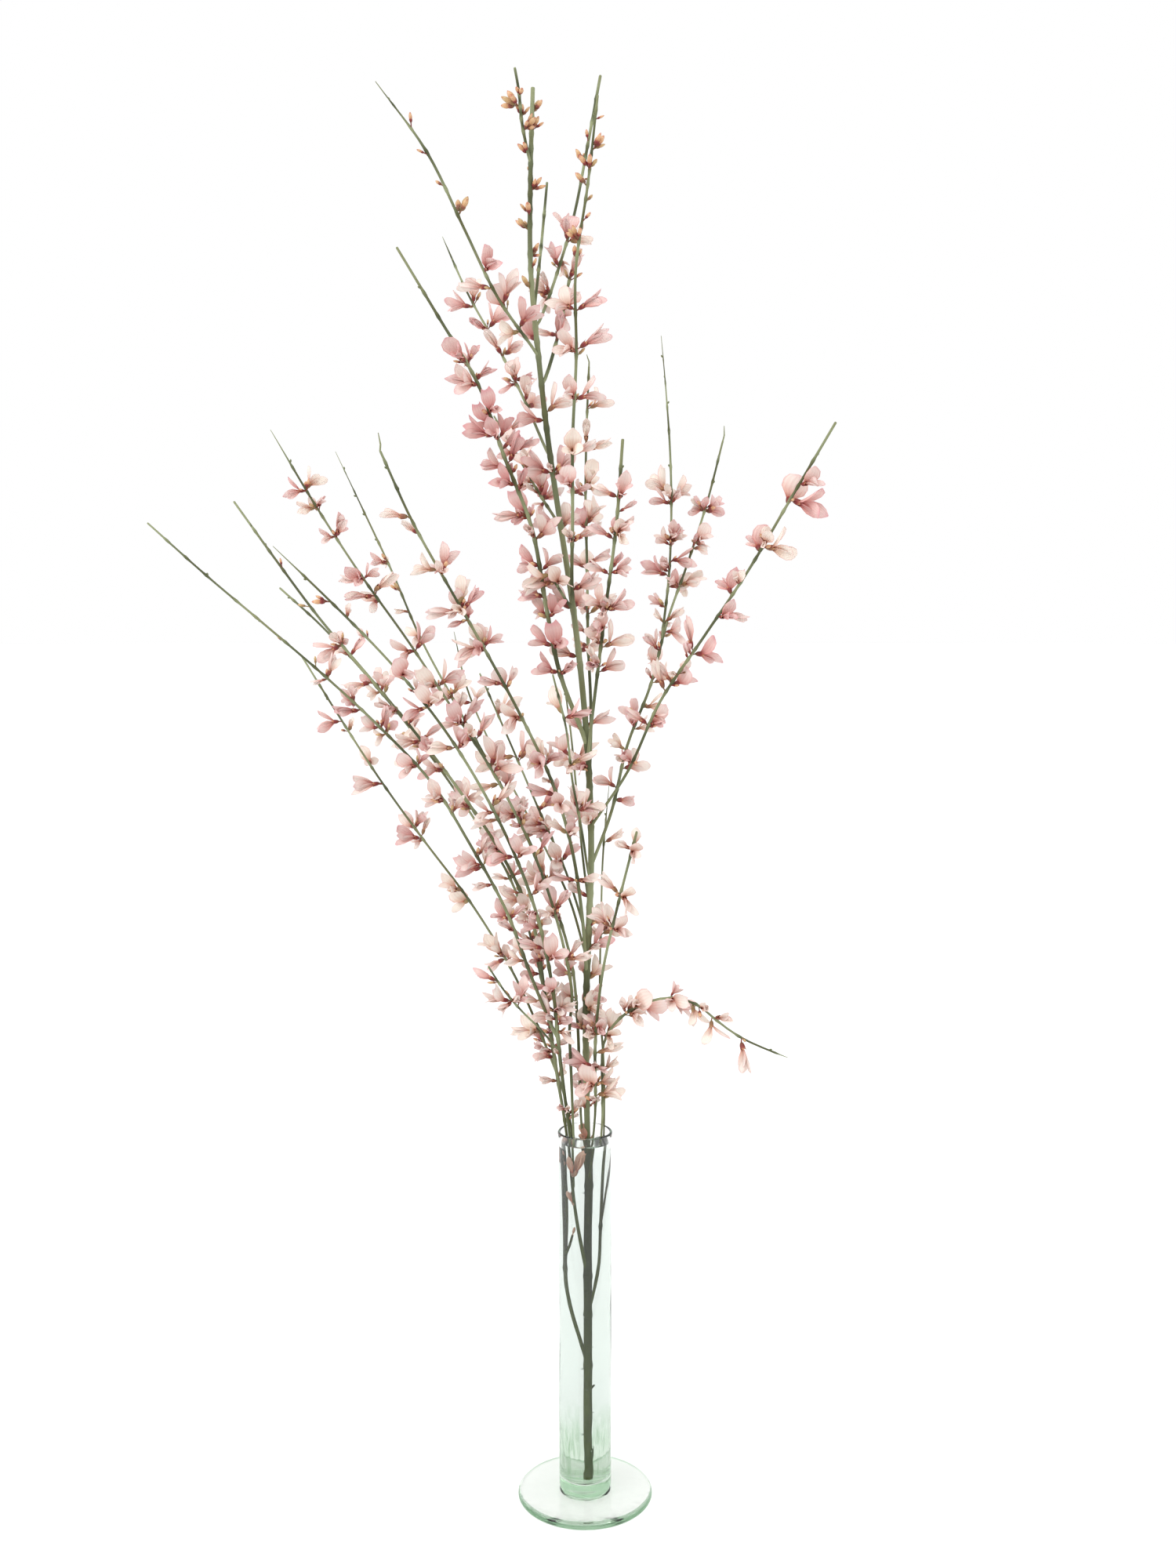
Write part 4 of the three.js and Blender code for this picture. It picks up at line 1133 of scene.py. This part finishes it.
def turned_outline(name, outline):
    """A closed round body from its outline, from the axis at the bottom to the axis at the top."""
    mesh = bpy.data.meshes.new(name)
    mesh.from_pydata([(r * MM, 0, z * MM) for r, z in outline],
                     [(i, i + 1) for i in range(len(outline) - 1)], [])
    obj = bpy.data.objects.new(name, mesh)
    bpy.context.collection.objects.link(obj)
    deselect()
    obj.select_set(True)
    bpy.context.view_layer.objects.active = obj
    bpy.ops.object.mode_set(mode="EDIT")
    bpy.ops.mesh.select_all(action="SELECT")
    bpy.ops.mesh.spin(steps=VASE_SIDES, angle=2 * math.pi, center=(0, 0, 0), axis=(0, 0, 1))
    bpy.ops.mesh.select_all(action="SELECT")
    bpy.ops.mesh.remove_doubles(threshold=1e-6)
    return obj


def arc(centre, radius, start, end, steps):
    """Points on an arc, from one angle to another in degrees."""
    angles = [math.radians(start + (end - start) * i / steps) for i in range(steps + 1)]
    return [(centre[0] + radius * math.cos(a), centre[1] + radius * math.sin(a)) for a in angles]


def rise_of(r, low, high):
    """Points up a straight wall, close enough together for it to wobble."""
    steps = math.ceil((high - low) / RINGS_APART)
    return [(r, low + (high - low) * i / steps) for i in range(steps + 1)]


def bore_at(z):
    """The bore's radius: the blown wall is thicker towards the base."""
    return TUBE_RADIUS - WALL_SEEN - WALL_MORE_LOW * math.exp(-(z / WALL_MORE_FADES) ** 2)


def bore_of(low, high, more):
    """Points up the bore's wall, so much wider than it."""
    return [(bore_at(z) + more, z) for nought, z in rise_of(0, low, high)]


def wobble(obj):
    """Hand-blown glass is never quite round: moves each corner of the tube in or out a little."""
    for corner in obj.data.vertices:
        x, y, z = (c / MM for c in corner.co)
        r = math.hypot(x, y)
        if r < INSIDE_ALL_WALLS or z < FOOT_THICKNESS + 2 or r > TUBE_RADIUS + 2:
            continue
        angle = math.atan2(y, x)
        out = (0.10 * math.sin(2 * angle + 0.021 * z) + 0.06 * math.sin(3 * angle - 0.05 * z + 1)
               + 0.05 * math.sin(0.09 * z + angle))
        low = math.exp(-((z - 24) / 11) ** 2)
        out += 0.16 * low * math.sin(5 * angle + 0.35 * z) * math.sin(0.5 * z)
        corner.co.x *= 1 + out / r
        corner.co.y *= 1 + out / r


def vase_piece(finishes):
    bore = TUBE_RADIUS - WALL_SEEN
    edge = FOOT_THICKNESS / 2
    outline = [(0, 0), (FOOT_RADIUS * 0.5, 0)]
    outline += arc((FOOT_RADIUS - edge, edge), edge, -90, 90, 10)
    outline += [(FOOT_RADIUS * 0.75, FOOT_THICKNESS + 0.05), (TUBE_RADIUS + 4, FOOT_THICKNESS + 0.1),
                (TUBE_RADIUS + 0.6, FOOT_THICKNESS + 0.2)]
    outline += [(TUBE_RADIUS - 0.5, FOOT_THICKNESS + 0.45), (TUBE_RADIUS - GROOVE_DEPTH, FOOT_JOIN),
                (TUBE_RADIUS - 0.45, FOOT_JOIN + 0.6), (TUBE_RADIUS - 0.1, FOOT_JOIN + 1.6),
                (TUBE_RADIUS, FOOT_JOIN + 3)]
    outline += rise_of(TUBE_RADIUS, FOOT_JOIN + 5, VASE_HEIGHT - 9)
    rim = (WALL_SEEN + 0.2) / 2
    outline += [(TUBE_RADIUS + 0.4 * RIM_FLARE, VASE_HEIGHT - 5)]
    outline += arc((bore + RIM_FLARE + rim - 0.1, VASE_HEIGHT - rim), rim, 0, 180, 10)
    outline += [(bore + 0.4 * RIM_FLARE, VASE_HEIGHT - 5)]
    outline += bore_of(BORE_FLOOR + FLOOR_ROUNDING + 1, VASE_HEIGHT - 9, 0)[::-1]
    low_bore = bore_at(BORE_FLOOR + FLOOR_ROUNDING)
    outline += arc((low_bore - FLOOR_ROUNDING, BORE_FLOOR + FLOOR_ROUNDING), FLOOR_ROUNDING, 0, -90, 6)
    outline += [(4, BORE_FLOOR + 0.3), (0, BORE_FLOOR + 0.5)]
    obj = turned_outline("glass_vase_blown", outline)
    finish_shape(obj, "glass_vase_blown", 50)
    wobble(obj)
    obj.visible_shadow = False
    return dress(obj, finishes.glass, ["glass_vase"])


def water_piece(finishes):
    bore = TUBE_RADIUS - WALL_SEEN + OVERLAP
    floor = BORE_FLOOR - OVERLAP
    outline = [(0, floor + 0.5), (4, floor + 0.3)]
    low_bore = bore_at(BORE_FLOOR + FLOOR_ROUNDING) + OVERLAP
    outline += arc((low_bore - FLOOR_ROUNDING, floor + FLOOR_ROUNDING), FLOOR_ROUNDING, -90, 0, 6)
    outline += bore_of(BORE_FLOOR + FLOOR_ROUNDING + 1, WATER_LEVEL, OVERLAP)
    outline += [(bore, WATER_LEVEL + 1.1), (bore - 0.5, WATER_LEVEL + 0.5), (bore - 1.6, WATER_LEVEL + 0.1),
                (bore - 4, WATER_LEVEL), (0, WATER_LEVEL)]
    obj = turned_outline("water_body", outline)
    finish_shape(obj, "water_body", 50)
    wobble(obj)
    obj.visible_shadow = False
    return dress(obj, finishes.water, ["water"])


# Air bubbles on the stems under water: where they sit along the main stem, their side and size.
BUBBLES = [(168, 0.6, 0.5), (150, 2.4, 0.35), (101, 0.9, 0.45), (84, 2.8, 0.3), (72, 0.2, 0.5),
           (61, 1.4, 0.4), (48, 2.9, 0.35), (36, 0.5, 0.45), (27, 2.2, 0.4), (20, 1.2, 0.3)]


def bubble_piece(main, finishes):
    deselect()
    bpy.ops.mesh.primitive_uv_sphere_add(segments=10, ring_count=6, radius=1)
    ball = bpy.context.active_object
    bpy.ops.object.mode_set(mode="EDIT")
    shape = master(finish_shape(ball, "bubble", 180))
    heap = Heap()
    path = main.paths[0]
    for height, turn, radius in BUBBLES:
        part = (height - path.points[0][2]) / path.total
        place = place_on(path, part)
        out = place.side * math.cos(turn) - place.other * math.sin(turn)
        centre = place.point + out * (place.radius + 0.5 * radius)
        heap.add(shape, placed(centre, place.side, place.along, radius))
    piece = heap.piece("air_bubbles", finishes.air, ["water"], "water")
    piece.visible_shadow = False
    return piece


def linear(colour):
    """A colour for Blender, from its sRGB hex value."""
    parts = [int(colour[i:i + 2], 16) / 255 for i in (1, 3, 5)]
    return (*(p / 12.92 if p <= 0.04045 else ((p + 0.055) / 1.055) ** 2.4 for p in parts), 1)


def node(tree, kind, inputs=None, stops=None, **settings):
    """Adds a node, with its settings, its inputs' values or links, and a ramp's stops."""
    made = tree.nodes.new("ShaderNode" + kind)
    for name, value in settings.items():
        setattr(made, name, value)
    for socket, value in (inputs or {}).items():
        if isinstance(value, bpy.types.NodeSocket):
            tree.links.new(value, made.inputs[socket])
        else:
            made.inputs[socket].default_value = value
    if stops:
        elements = made.color_ramp.elements
        while len(elements) < len(stops):
            elements.new(0.5)
        for element, (position, colour) in zip(elements, stops):
            element.position = position
            element.color = linear(colour) if isinstance(colour, str) else (colour,) * 3 + (1,)
    return made


def new_material(name):
    """A new material, with nothing in it but its output."""
    material = bpy.data.materials.new(name)
    material.use_nodes = True
    tree = material.node_tree
    tree.nodes.clear()
    return material, tree, tree.nodes.new("ShaderNodeOutputMaterial")


# The sizes of patterns, as repeats to a metre: a vein wanders every 36 mm, a bud's freckles are
# 0.7 mm apart, and the bark has brown patches every 18 mm and a grain of 1.1 mm.
VEIN_WANDER = 28.0
FRECKLES = 1400.0
BARK_PATCHES = 55.0
BARK_GRAIN = 900.0
# Streaks in the glass are 11 mm wide and 56 mm long, and its low creases 2.4 mm and 14 mm.
GLASS_STREAKS = (90.0, 90.0, 18.0)
GLASS_CREASES = (420.0, 420.0, 70.0)
# The glass's tint at each height in millimetres: greenest in the foot's edge and in the solid base.
GLASS_TINTS = [(0, "#ECEAEB"), (0.8, "#9CBCA0"), (3.3, "#9CBCA0"), (3.9, "#ECEAEB"), (5, "#C4DAC6"),
               (10, "#CCE0CC"), (12, "#E6EEE6"), (18, "#E4EBE4"), (32, "#DFE8E0"), (48, "#E7ECE9"),
               (75, "#EAEFEC"), (188, "#ECF0EE"), (196, "#FAFCFA"), (200, "#FFFFFF")]
# How far up the creases start, are full, fade and are gone, in millimetres too.
CREASES = (11, 20, 30, 52)
# The share of the light that goes through a petal, and its main veins from side to side.
THROUGH_PETAL = 0.45
PETAL_VEINS = 6


def petal_finish():
    """Broom petal: thin soft tissue that light shines through, satin and pale.

    Its veins are fine, a little darker, and fan out from the claw.
    """
    material, tree, output = new_material("broom_petal_tissue")
    uv = node(tree, "UVMap", uv_map="UVMap")
    split = node(tree, "SeparateXYZ", {0: uv.outputs[0]})
    across, along = split.outputs[0], split.outputs[1]
    tint = node(tree, "Attribute", attribute_name="tint")
    shades = node(tree, "SeparateColor", {0: tint.outputs["Color"]})
    pinkness, cream_share, wetness = shades.outputs[0], shades.outputs[1], shades.outputs[2]
    body = node(tree, "ValToRGB", {0: along}, stops=[
        (0.0, "#9C3230"), (0.12, "#C86A5C"), (0.28, "#E4BCB0"), (0.46, "#EDDCD5"), (0.8, "#F3F0EC"),
        (1.0, "#EFDFDC")])
    pink = node(tree, "ValToRGB", {0: along}, stops=[
        (0.0, "#94282C"), (0.14, "#C25A58"), (0.32, "#E2AEA9"), (0.7, "#EBCFCB"), (1.0, "#E5AFB4")])
    cream = node(tree, "ValToRGB", {0: along}, stops=[
        (0.0, "#94402E"), (0.12, "#D0906E"), (0.26, "#ECD4C0"), (0.55, "#F9F4EC"), (1.0, "#F5EAE2")])
    first = node(tree, "Mix", {0: pinkness, 6: body.outputs[0], 7: pink.outputs[0]}, data_type="RGBA")
    second = node(tree, "Mix", {0: cream_share, 6: first.outputs[2], 7: cream.outputs[0]},
                  data_type="RGBA")
    place = node(tree, "TexCoord")
    wander = node(tree, "TexNoise", {
        "Vector": place.outputs["Object"], "Scale": VEIN_WANDER, "Detail": 2.0})
    swayed = node(tree, "MapRange", {0: wander.outputs[0], 3: -0.02, 4: 0.02})
    moved = node(tree, "Math", {0: across, 1: swayed.outputs[0]}, operation="ADD")
    waves = node(tree, "Math", {0: moved.outputs[0], 1: 2 * math.pi * PETAL_VEINS}, operation="MULTIPLY")
    lines = node(tree, "Math", {0: waves.outputs[0]}, operation="COSINE")
    fading = node(tree, "MapRange", {0: along, 1: 0.15, 2: 0.8, 3: 0.2, 4: 0.03})
    veins = node(tree, "MapRange", {0: lines.outputs[0], 1: 0.2, 2: 1.0, 3: 0.0, 4: fading.outputs[0]})
    veined = node(tree, "Mix", {0: veins.outputs[0], 6: second.outputs[2], 7: linear("#CC646A")},
                  data_type="RGBA")
    side = node(tree, "Math", {0: across, 1: 0.5}, operation="SUBTRACT")
    reach = node(tree, "Math", {0: side.outputs[0]}, operation="ABSOLUTE")
    rim = node(tree, "MapRange", {0: reach.outputs[0], 1: 0.42, 2: 0.5, 3: 0.0, 4: 0.3})
    edged = node(tree, "Mix", {0: rim.outputs[0], 6: veined.outputs[2], 7: linear("#DF8E92")},
                 data_type="RGBA")
    drenched = node(tree, "Mix", {0: wetness, 6: edged.outputs[2], 7: linear("#E6CDBC")},
                    data_type="RGBA", blend_type="MULTIPLY")
    bump = node(tree, "Bump", {"Strength": 0.25, "Distance": 0.0002, "Height": lines.outputs[0]})
    skin = node(tree, "BsdfPrincipled", {
        "Base Color": drenched.outputs[2], "Roughness": 0.6, "Normal": bump.outputs[0], "IOR": 1.4})
    glow = node(tree, "BsdfTranslucent", {"Color": drenched.outputs[2], "Normal": bump.outputs[0]})
    both = node(tree, "MixShader", {0: THROUGH_PETAL, 1: skin.outputs[0], 2: glow.outputs[0]})
    tree.links.new(both.outputs[0], output.inputs[0])
    return material


def calyx_finish():
    """Calyx and bud skin: thin and satin.

    It is green at the stalk, then dark crimson, and beige to pink at a bud's tip.
    """
    material, tree, output = new_material("broom_calyx_skin")
    uv = node(tree, "UVMap", uv_map="UVMap")
    split = node(tree, "SeparateXYZ", {0: uv.outputs[0]})
    tint = node(tree, "Attribute", attribute_name="tint")
    shades = node(tree, "SeparateColor", {0: tint.outputs["Color"]})
    unripeness, wetness = shades.outputs[1], shades.outputs[2]
    body = node(tree, "ValToRGB", {0: split.outputs[1]}, stops=[
        (0.0, "#5A5630"), (0.08, "#70382A"), (0.2, "#681F20"), (0.34, "#7E2C2A"), (0.48, "#C08E66"),
        (0.8, "#D2AC86"), (1.0, "#B86C5A")])
    place = node(tree, "TexCoord")
    spots = node(tree, "TexNoise", {"Vector": place.outputs["Object"], "Scale": FRECKLES, "Detail": 3.0})
    mottled = node(tree, "MapRange", {0: spots.outputs[0], 1: 0.4, 3: 0.0, 4: 0.5})
    mixed = node(tree, "Mix", {0: mottled.outputs[0], 6: body.outputs[0], 7: linear("#8A4034")},
                 data_type="RGBA")
    unripe = node(tree, "MapRange", {0: unripeness, 1: 0.4, 2: 1.0, 3: 0.0, 4: 0.45})
    greener = node(tree, "Mix", {0: unripe.outputs[0], 6: mixed.outputs[2], 7: linear("#A09A64")},
                   data_type="RGBA")
    drenched = node(tree, "Mix", {0: wetness, 6: greener.outputs[2], 7: linear("#9A7660")},
                    data_type="RGBA")
    skin = node(tree, "BsdfPrincipled", {
        "Base Color": drenched.outputs[2], "Roughness": 0.45, "IOR": 1.4})
    tree.links.new(skin.outputs[0], output.inputs[0])
    return material


def bark_finish():
    """Living broom bark: satin green and brown in places, with painted highlights on its ridges and painted
    shade in its furrows.
    """
    material, tree, output = new_material("living_green_bark")
    place = node(tree, "TexCoord")
    uv = node(tree, "UVMap", uv_map="UVMap")
    split = node(tree, "SeparateXYZ", {0: uv.outputs[0]})
    # Painted highlight and shade: the colour runs from dark in each furrow to pale on each ridge, round the
    # stem.
    turns = node(tree, "Math", {0: split.outputs[0], 1: 2 * math.pi * STEM_SIDES / 2},
                 operation="MULTIPLY")
    ridge_and_furrow_shading = node(tree, "Math", {0: turns.outputs[0]}, operation="COSINE")
    height = node(tree, "MapRange", {0: ridge_and_furrow_shading.outputs[0], 1: -1.0, 2: 1.0})
    body = node(tree, "ValToRGB", {0: height.outputs[0]}, stops=[
        (0.0, "#4A4F37"), (0.5, "#6A7053"), (1.0, "#888E6D")])
    patches = node(tree, "TexNoise", {
        "Vector": place.outputs["Object"], "Scale": BARK_PATCHES, "Detail": 4.0})
    patched = node(tree, "MapRange", {0: patches.outputs[0], 1: 0.45, 2: 0.75, 3: 0.0, 4: 0.7})
    mixed = node(tree, "Mix", {0: patched.outputs[0], 6: body.outputs[0], 7: linear("#66643F")},
                 data_type="RGBA")
    # Darker and greener below the water line: partly the wet bark's own colour, and partly painted shade
    # for the light that the glass and water would hold back, as they cast no shadow here.
    height = node(tree, "SeparateXYZ", {0: place.outputs["Object"]})
    wet_and_shaded = node(tree, "MapRange", {0: height.outputs[2], 1: MM * (WATER_LEVEL + 4), 2: MM * WATER_LEVEL})
    soaked_and_shaded = node(tree, "Mix", {0: wet_and_shaded.outputs[0], 6: mixed.outputs[2], 7: linear("#76843A")},
                  data_type="RGBA", blend_type="MULTIPLY")
    grain = node(tree, "TexNoise", {"Vector": place.outputs["Object"], "Scale": BARK_GRAIN, "Detail": 2.0})
    bump = node(tree, "Bump", {"Strength": 0.3, "Distance": 0.0002, "Height": grain.outputs[0]})
    skin = node(tree, "BsdfPrincipled", {
        "Base Color": soaked_and_shaded.outputs[2], "Roughness": 0.6, "Normal": bump.outputs[0], "IOR": 1.4,
        "Specular IOR Level": 0.2})
    tree.links.new(skin.outputs[0], output.inputs[0])
    return material


def glass_finish():
    """Recycled soda-lime glass, blown and fire polished.

    It is clear, with a green that shows where it is thick.
    """
    material, tree, output = new_material("recycled_glass")
    place = node(tree, "TexCoord")
    stretch = node(tree, "Mapping", {"Vector": place.outputs["Object"], "Scale": GLASS_STREAKS})
    streaks = node(tree, "TexNoise", {"Vector": stretch.outputs[0], "Scale": 1.0, "Detail": 2.0})
    height = node(tree, "SeparateXYZ", {0: place.outputs["Object"]})
    start, full, fade, gone = CREASES
    creases = node(tree, "Mapping", {"Vector": place.outputs["Object"], "Scale": GLASS_CREASES})
    creased = node(tree, "TexNoise", {"Vector": creases.outputs[0], "Scale": 1.0, "Detail": 1.0})
    fading = node(tree, "MapRange", {0: height.outputs[2], 1: MM * fade, 2: MM * gone, 3: 1.0, 4: 0.0})
    starting = node(tree, "MapRange", {0: height.outputs[2], 1: MM * start, 2: MM * full})
    low = node(tree, "Math", {0: fading.outputs[0], 1: starting.outputs[0]}, operation="MULTIPLY")
    folds = node(tree, "Math", {0: creased.outputs[0], 1: low.outputs[0]}, operation="MULTIPLY")
    relief = node(tree, "Math", {0: streaks.outputs[0], 1: folds.outputs[0]}, operation="ADD")
    bump = node(tree, "Bump", {"Strength": 0.3, "Distance": 0.0006, "Height": relief.outputs[0]})
    level = node(tree, "MapRange", {0: height.outputs[2], 1: 0.0, 2: MM * VASE_HEIGHT})
    tint = node(tree, "ValToRGB", {0: level.outputs[0]},
                stops=[(z / VASE_HEIGHT, colour) for z, colour in GLASS_TINTS])
    thick = node(tree, "MapRange", {0: creased.outputs[0], 1: 0.55, 2: 0.61})
    folded = node(tree, "Math", {0: thick.outputs[0], 1: low.outputs[0]}, operation="MULTIPLY")
    greener = node(tree, "Mix", {0: folded.outputs[0], 6: tint.outputs[0], 7: linear("#C2D6C2")},
                   data_type="RGBA")
    shell = node(tree, "BsdfPrincipled", {
        "Base Color": greener.outputs[2], "Roughness": 0.0, "IOR": 1.5, "Transmission Weight": 1.0,
        "Specular Tint": linear("#E0E0E0"), "Normal": bump.outputs[0]})
    depth = node(tree, "VolumeAbsorption", {"Color": linear("#B4D4B8"), "Density": 12.0})
    tree.links.new(shell.outputs[0], output.inputs[0])
    tree.links.new(depth.outputs[0], output.inputs[1])
    return material


def water_finish():
    """Still water: clear.

    Its surface mirrors little, because glass or wet bark lies against nearly all of it.
    """
    material, tree, output = new_material("still_water")
    shell = node(tree, "BsdfPrincipled", {
        "Base Color": linear("#FFFFFF"), "Roughness": 0.0, "IOR": 1.33, "Transmission Weight": 1.0,
        "Specular Tint": linear("#202020")})
    tree.links.new(shell.outputs[0], output.inputs[0])
    return material


def air_finish():
    """A bubble of air under water: clear, and bent the other way by the water round it."""
    material, tree, output = new_material("air_under_water")
    shell = node(tree, "BsdfPrincipled", {
        "Base Color": linear("#FFFFFF"), "Roughness": 0.0, "IOR": 0.75, "Transmission Weight": 1.0})
    tree.links.new(shell.outputs[0], output.inputs[0])
    return material


# The camera of the photo, its frame 1500 by 2000 pixels, and where it stood.
FOCAL_PIXELS = 2017
FRAME_HEIGHT_PIXELS = 2000
SENSOR = 36
CAMERA_PLACE = (1.5, -807, 460)
TILT_DOWN = 5.5


def camera():
    data = bpy.data.cameras.new("camera")
    data.sensor_width = SENSOR
    data.sensor_fit = "AUTO"
    data.lens = SENSOR * FOCAL_PIXELS / FRAME_HEIGHT_PIXELS
    data.clip_end = 200
    obj = bpy.data.objects.new("camera", data)
    obj.location = [MM * c for c in CAMERA_PLACE]
    obj.rotation_euler = (math.radians(90 - TILT_DOWN), 0, 0)
    bpy.context.collection.objects.link(obj)
    bpy.context.scene.camera = obj


FLOOR_RADIUS = 60


def floor():
    deselect()
    bpy.ops.mesh.primitive_circle_add(vertices=96, radius=FLOOR_RADIUS, fill_type="NGON")
    obj = bpy.context.active_object
    obj.name = "floor"
    obj.location.z = -0.0003
    material, tree, output = new_material("pale_paper_floor")
    paper = node(tree, "BsdfPrincipled", {"Base Color": linear("#F3F3F3"), "Roughness": 0.9})
    tree.links.new(paper.outputs[0], output.inputs[0])
    obj.data.materials.append(material)


# The light: a white wall behind the object, fading to grey behind the viewer, a wide lamp above, in
# watts to the square metre, and on each side a soft box, in watts, turned to a place in the object.
BEHIND_OBJECT = 1.0
BEHIND_VIEWER = 0.62
LAMP_ABOVE = 1.8
KEY_POWER = 9
FILL_POWER = 5
BOX_SIZE = 1.0
LIT_PLACE = (0, 0, 0.4)


def soft_light(name, place, power):
    """A square soft box, turned to face the object."""
    data = bpy.data.lights.new(name, "AREA")
    data.size = BOX_SIZE
    data.energy = power
    obj = bpy.data.objects.new(name, data)
    bpy.context.collection.objects.link(obj)
    obj.location = place
    away = unit(np.array(place) - np.array(LIT_PLACE))
    obj.rotation_euler = (math.acos(away[2]), 0, math.atan2(away[1], away[0]) + math.pi / 2)


def light():
    world = bpy.data.worlds.new("white_studio")
    world.use_nodes = True
    tree = world.node_tree
    place = node(tree, "TexCoord")
    split = node(tree, "SeparateXYZ", {0: place.outputs["Generated"]})
    fade = node(tree, "MapRange", {
        0: split.outputs[1], 1: -0.4, 2: 0.45, 3: BEHIND_VIEWER, 4: BEHIND_OBJECT},
        interpolation_type="SMOOTHSTEP")
    background = tree.nodes["Background"]
    background.inputs[0].default_value = linear("#FFFFFF")
    tree.links.new(fade.outputs[0], background.inputs[1])
    bpy.context.scene.world = world
    lamp = bpy.data.lights.new("wide_lamp_above", "SUN")
    lamp.energy = LAMP_ABOVE
    lamp.angle = math.radians(70)
    obj = bpy.data.objects.new("wide_lamp_above", lamp)
    obj.rotation_euler = (math.radians(42), math.radians(-12), 0)
    bpy.context.collection.objects.link(obj)
    soft_light("key_light", (-1.1, -0.6, 1.2), KEY_POWER)
    soft_light("fill_light", (1.3, -0.4, 0.9), FILL_POWER)
    bpy.context.scene.view_settings.view_transform = "Standard"


camera()
light()
floor()
# Light goes back and forth inside the thick glass many times before it comes out.
MOST_BOUNCES = 40
MOST_MIRRORINGS = 32
paths = bpy.context.scene.cycles
paths.max_bounces = MOST_BOUNCES
paths.glossy_bounces = MOST_MIRRORINGS
paths.transmission_bounces = MOST_BOUNCES
finishes = SimpleNamespace(petal=petal_finish(), calyx=calyx_finish(), bark=bark_finish(),
                           glass=glass_finish(), water=water_finish(), air=air_finish())
sprays, room = grow_all()
grow_more(sprays, room)
joints = forks(sprays)
shapes = flower_parts()
section = ridged_outline()
for spray in sprays:
    spray_pieces(spray, shapes, section, finishes, joints)
bpy.data.objects.remove(section)
vase_piece(finishes)
water_piece(finishes)
bubble_piece(sprays[0], finishes)
for shape in vars(shapes).values():
    bpy.data.meshes.remove(shape)
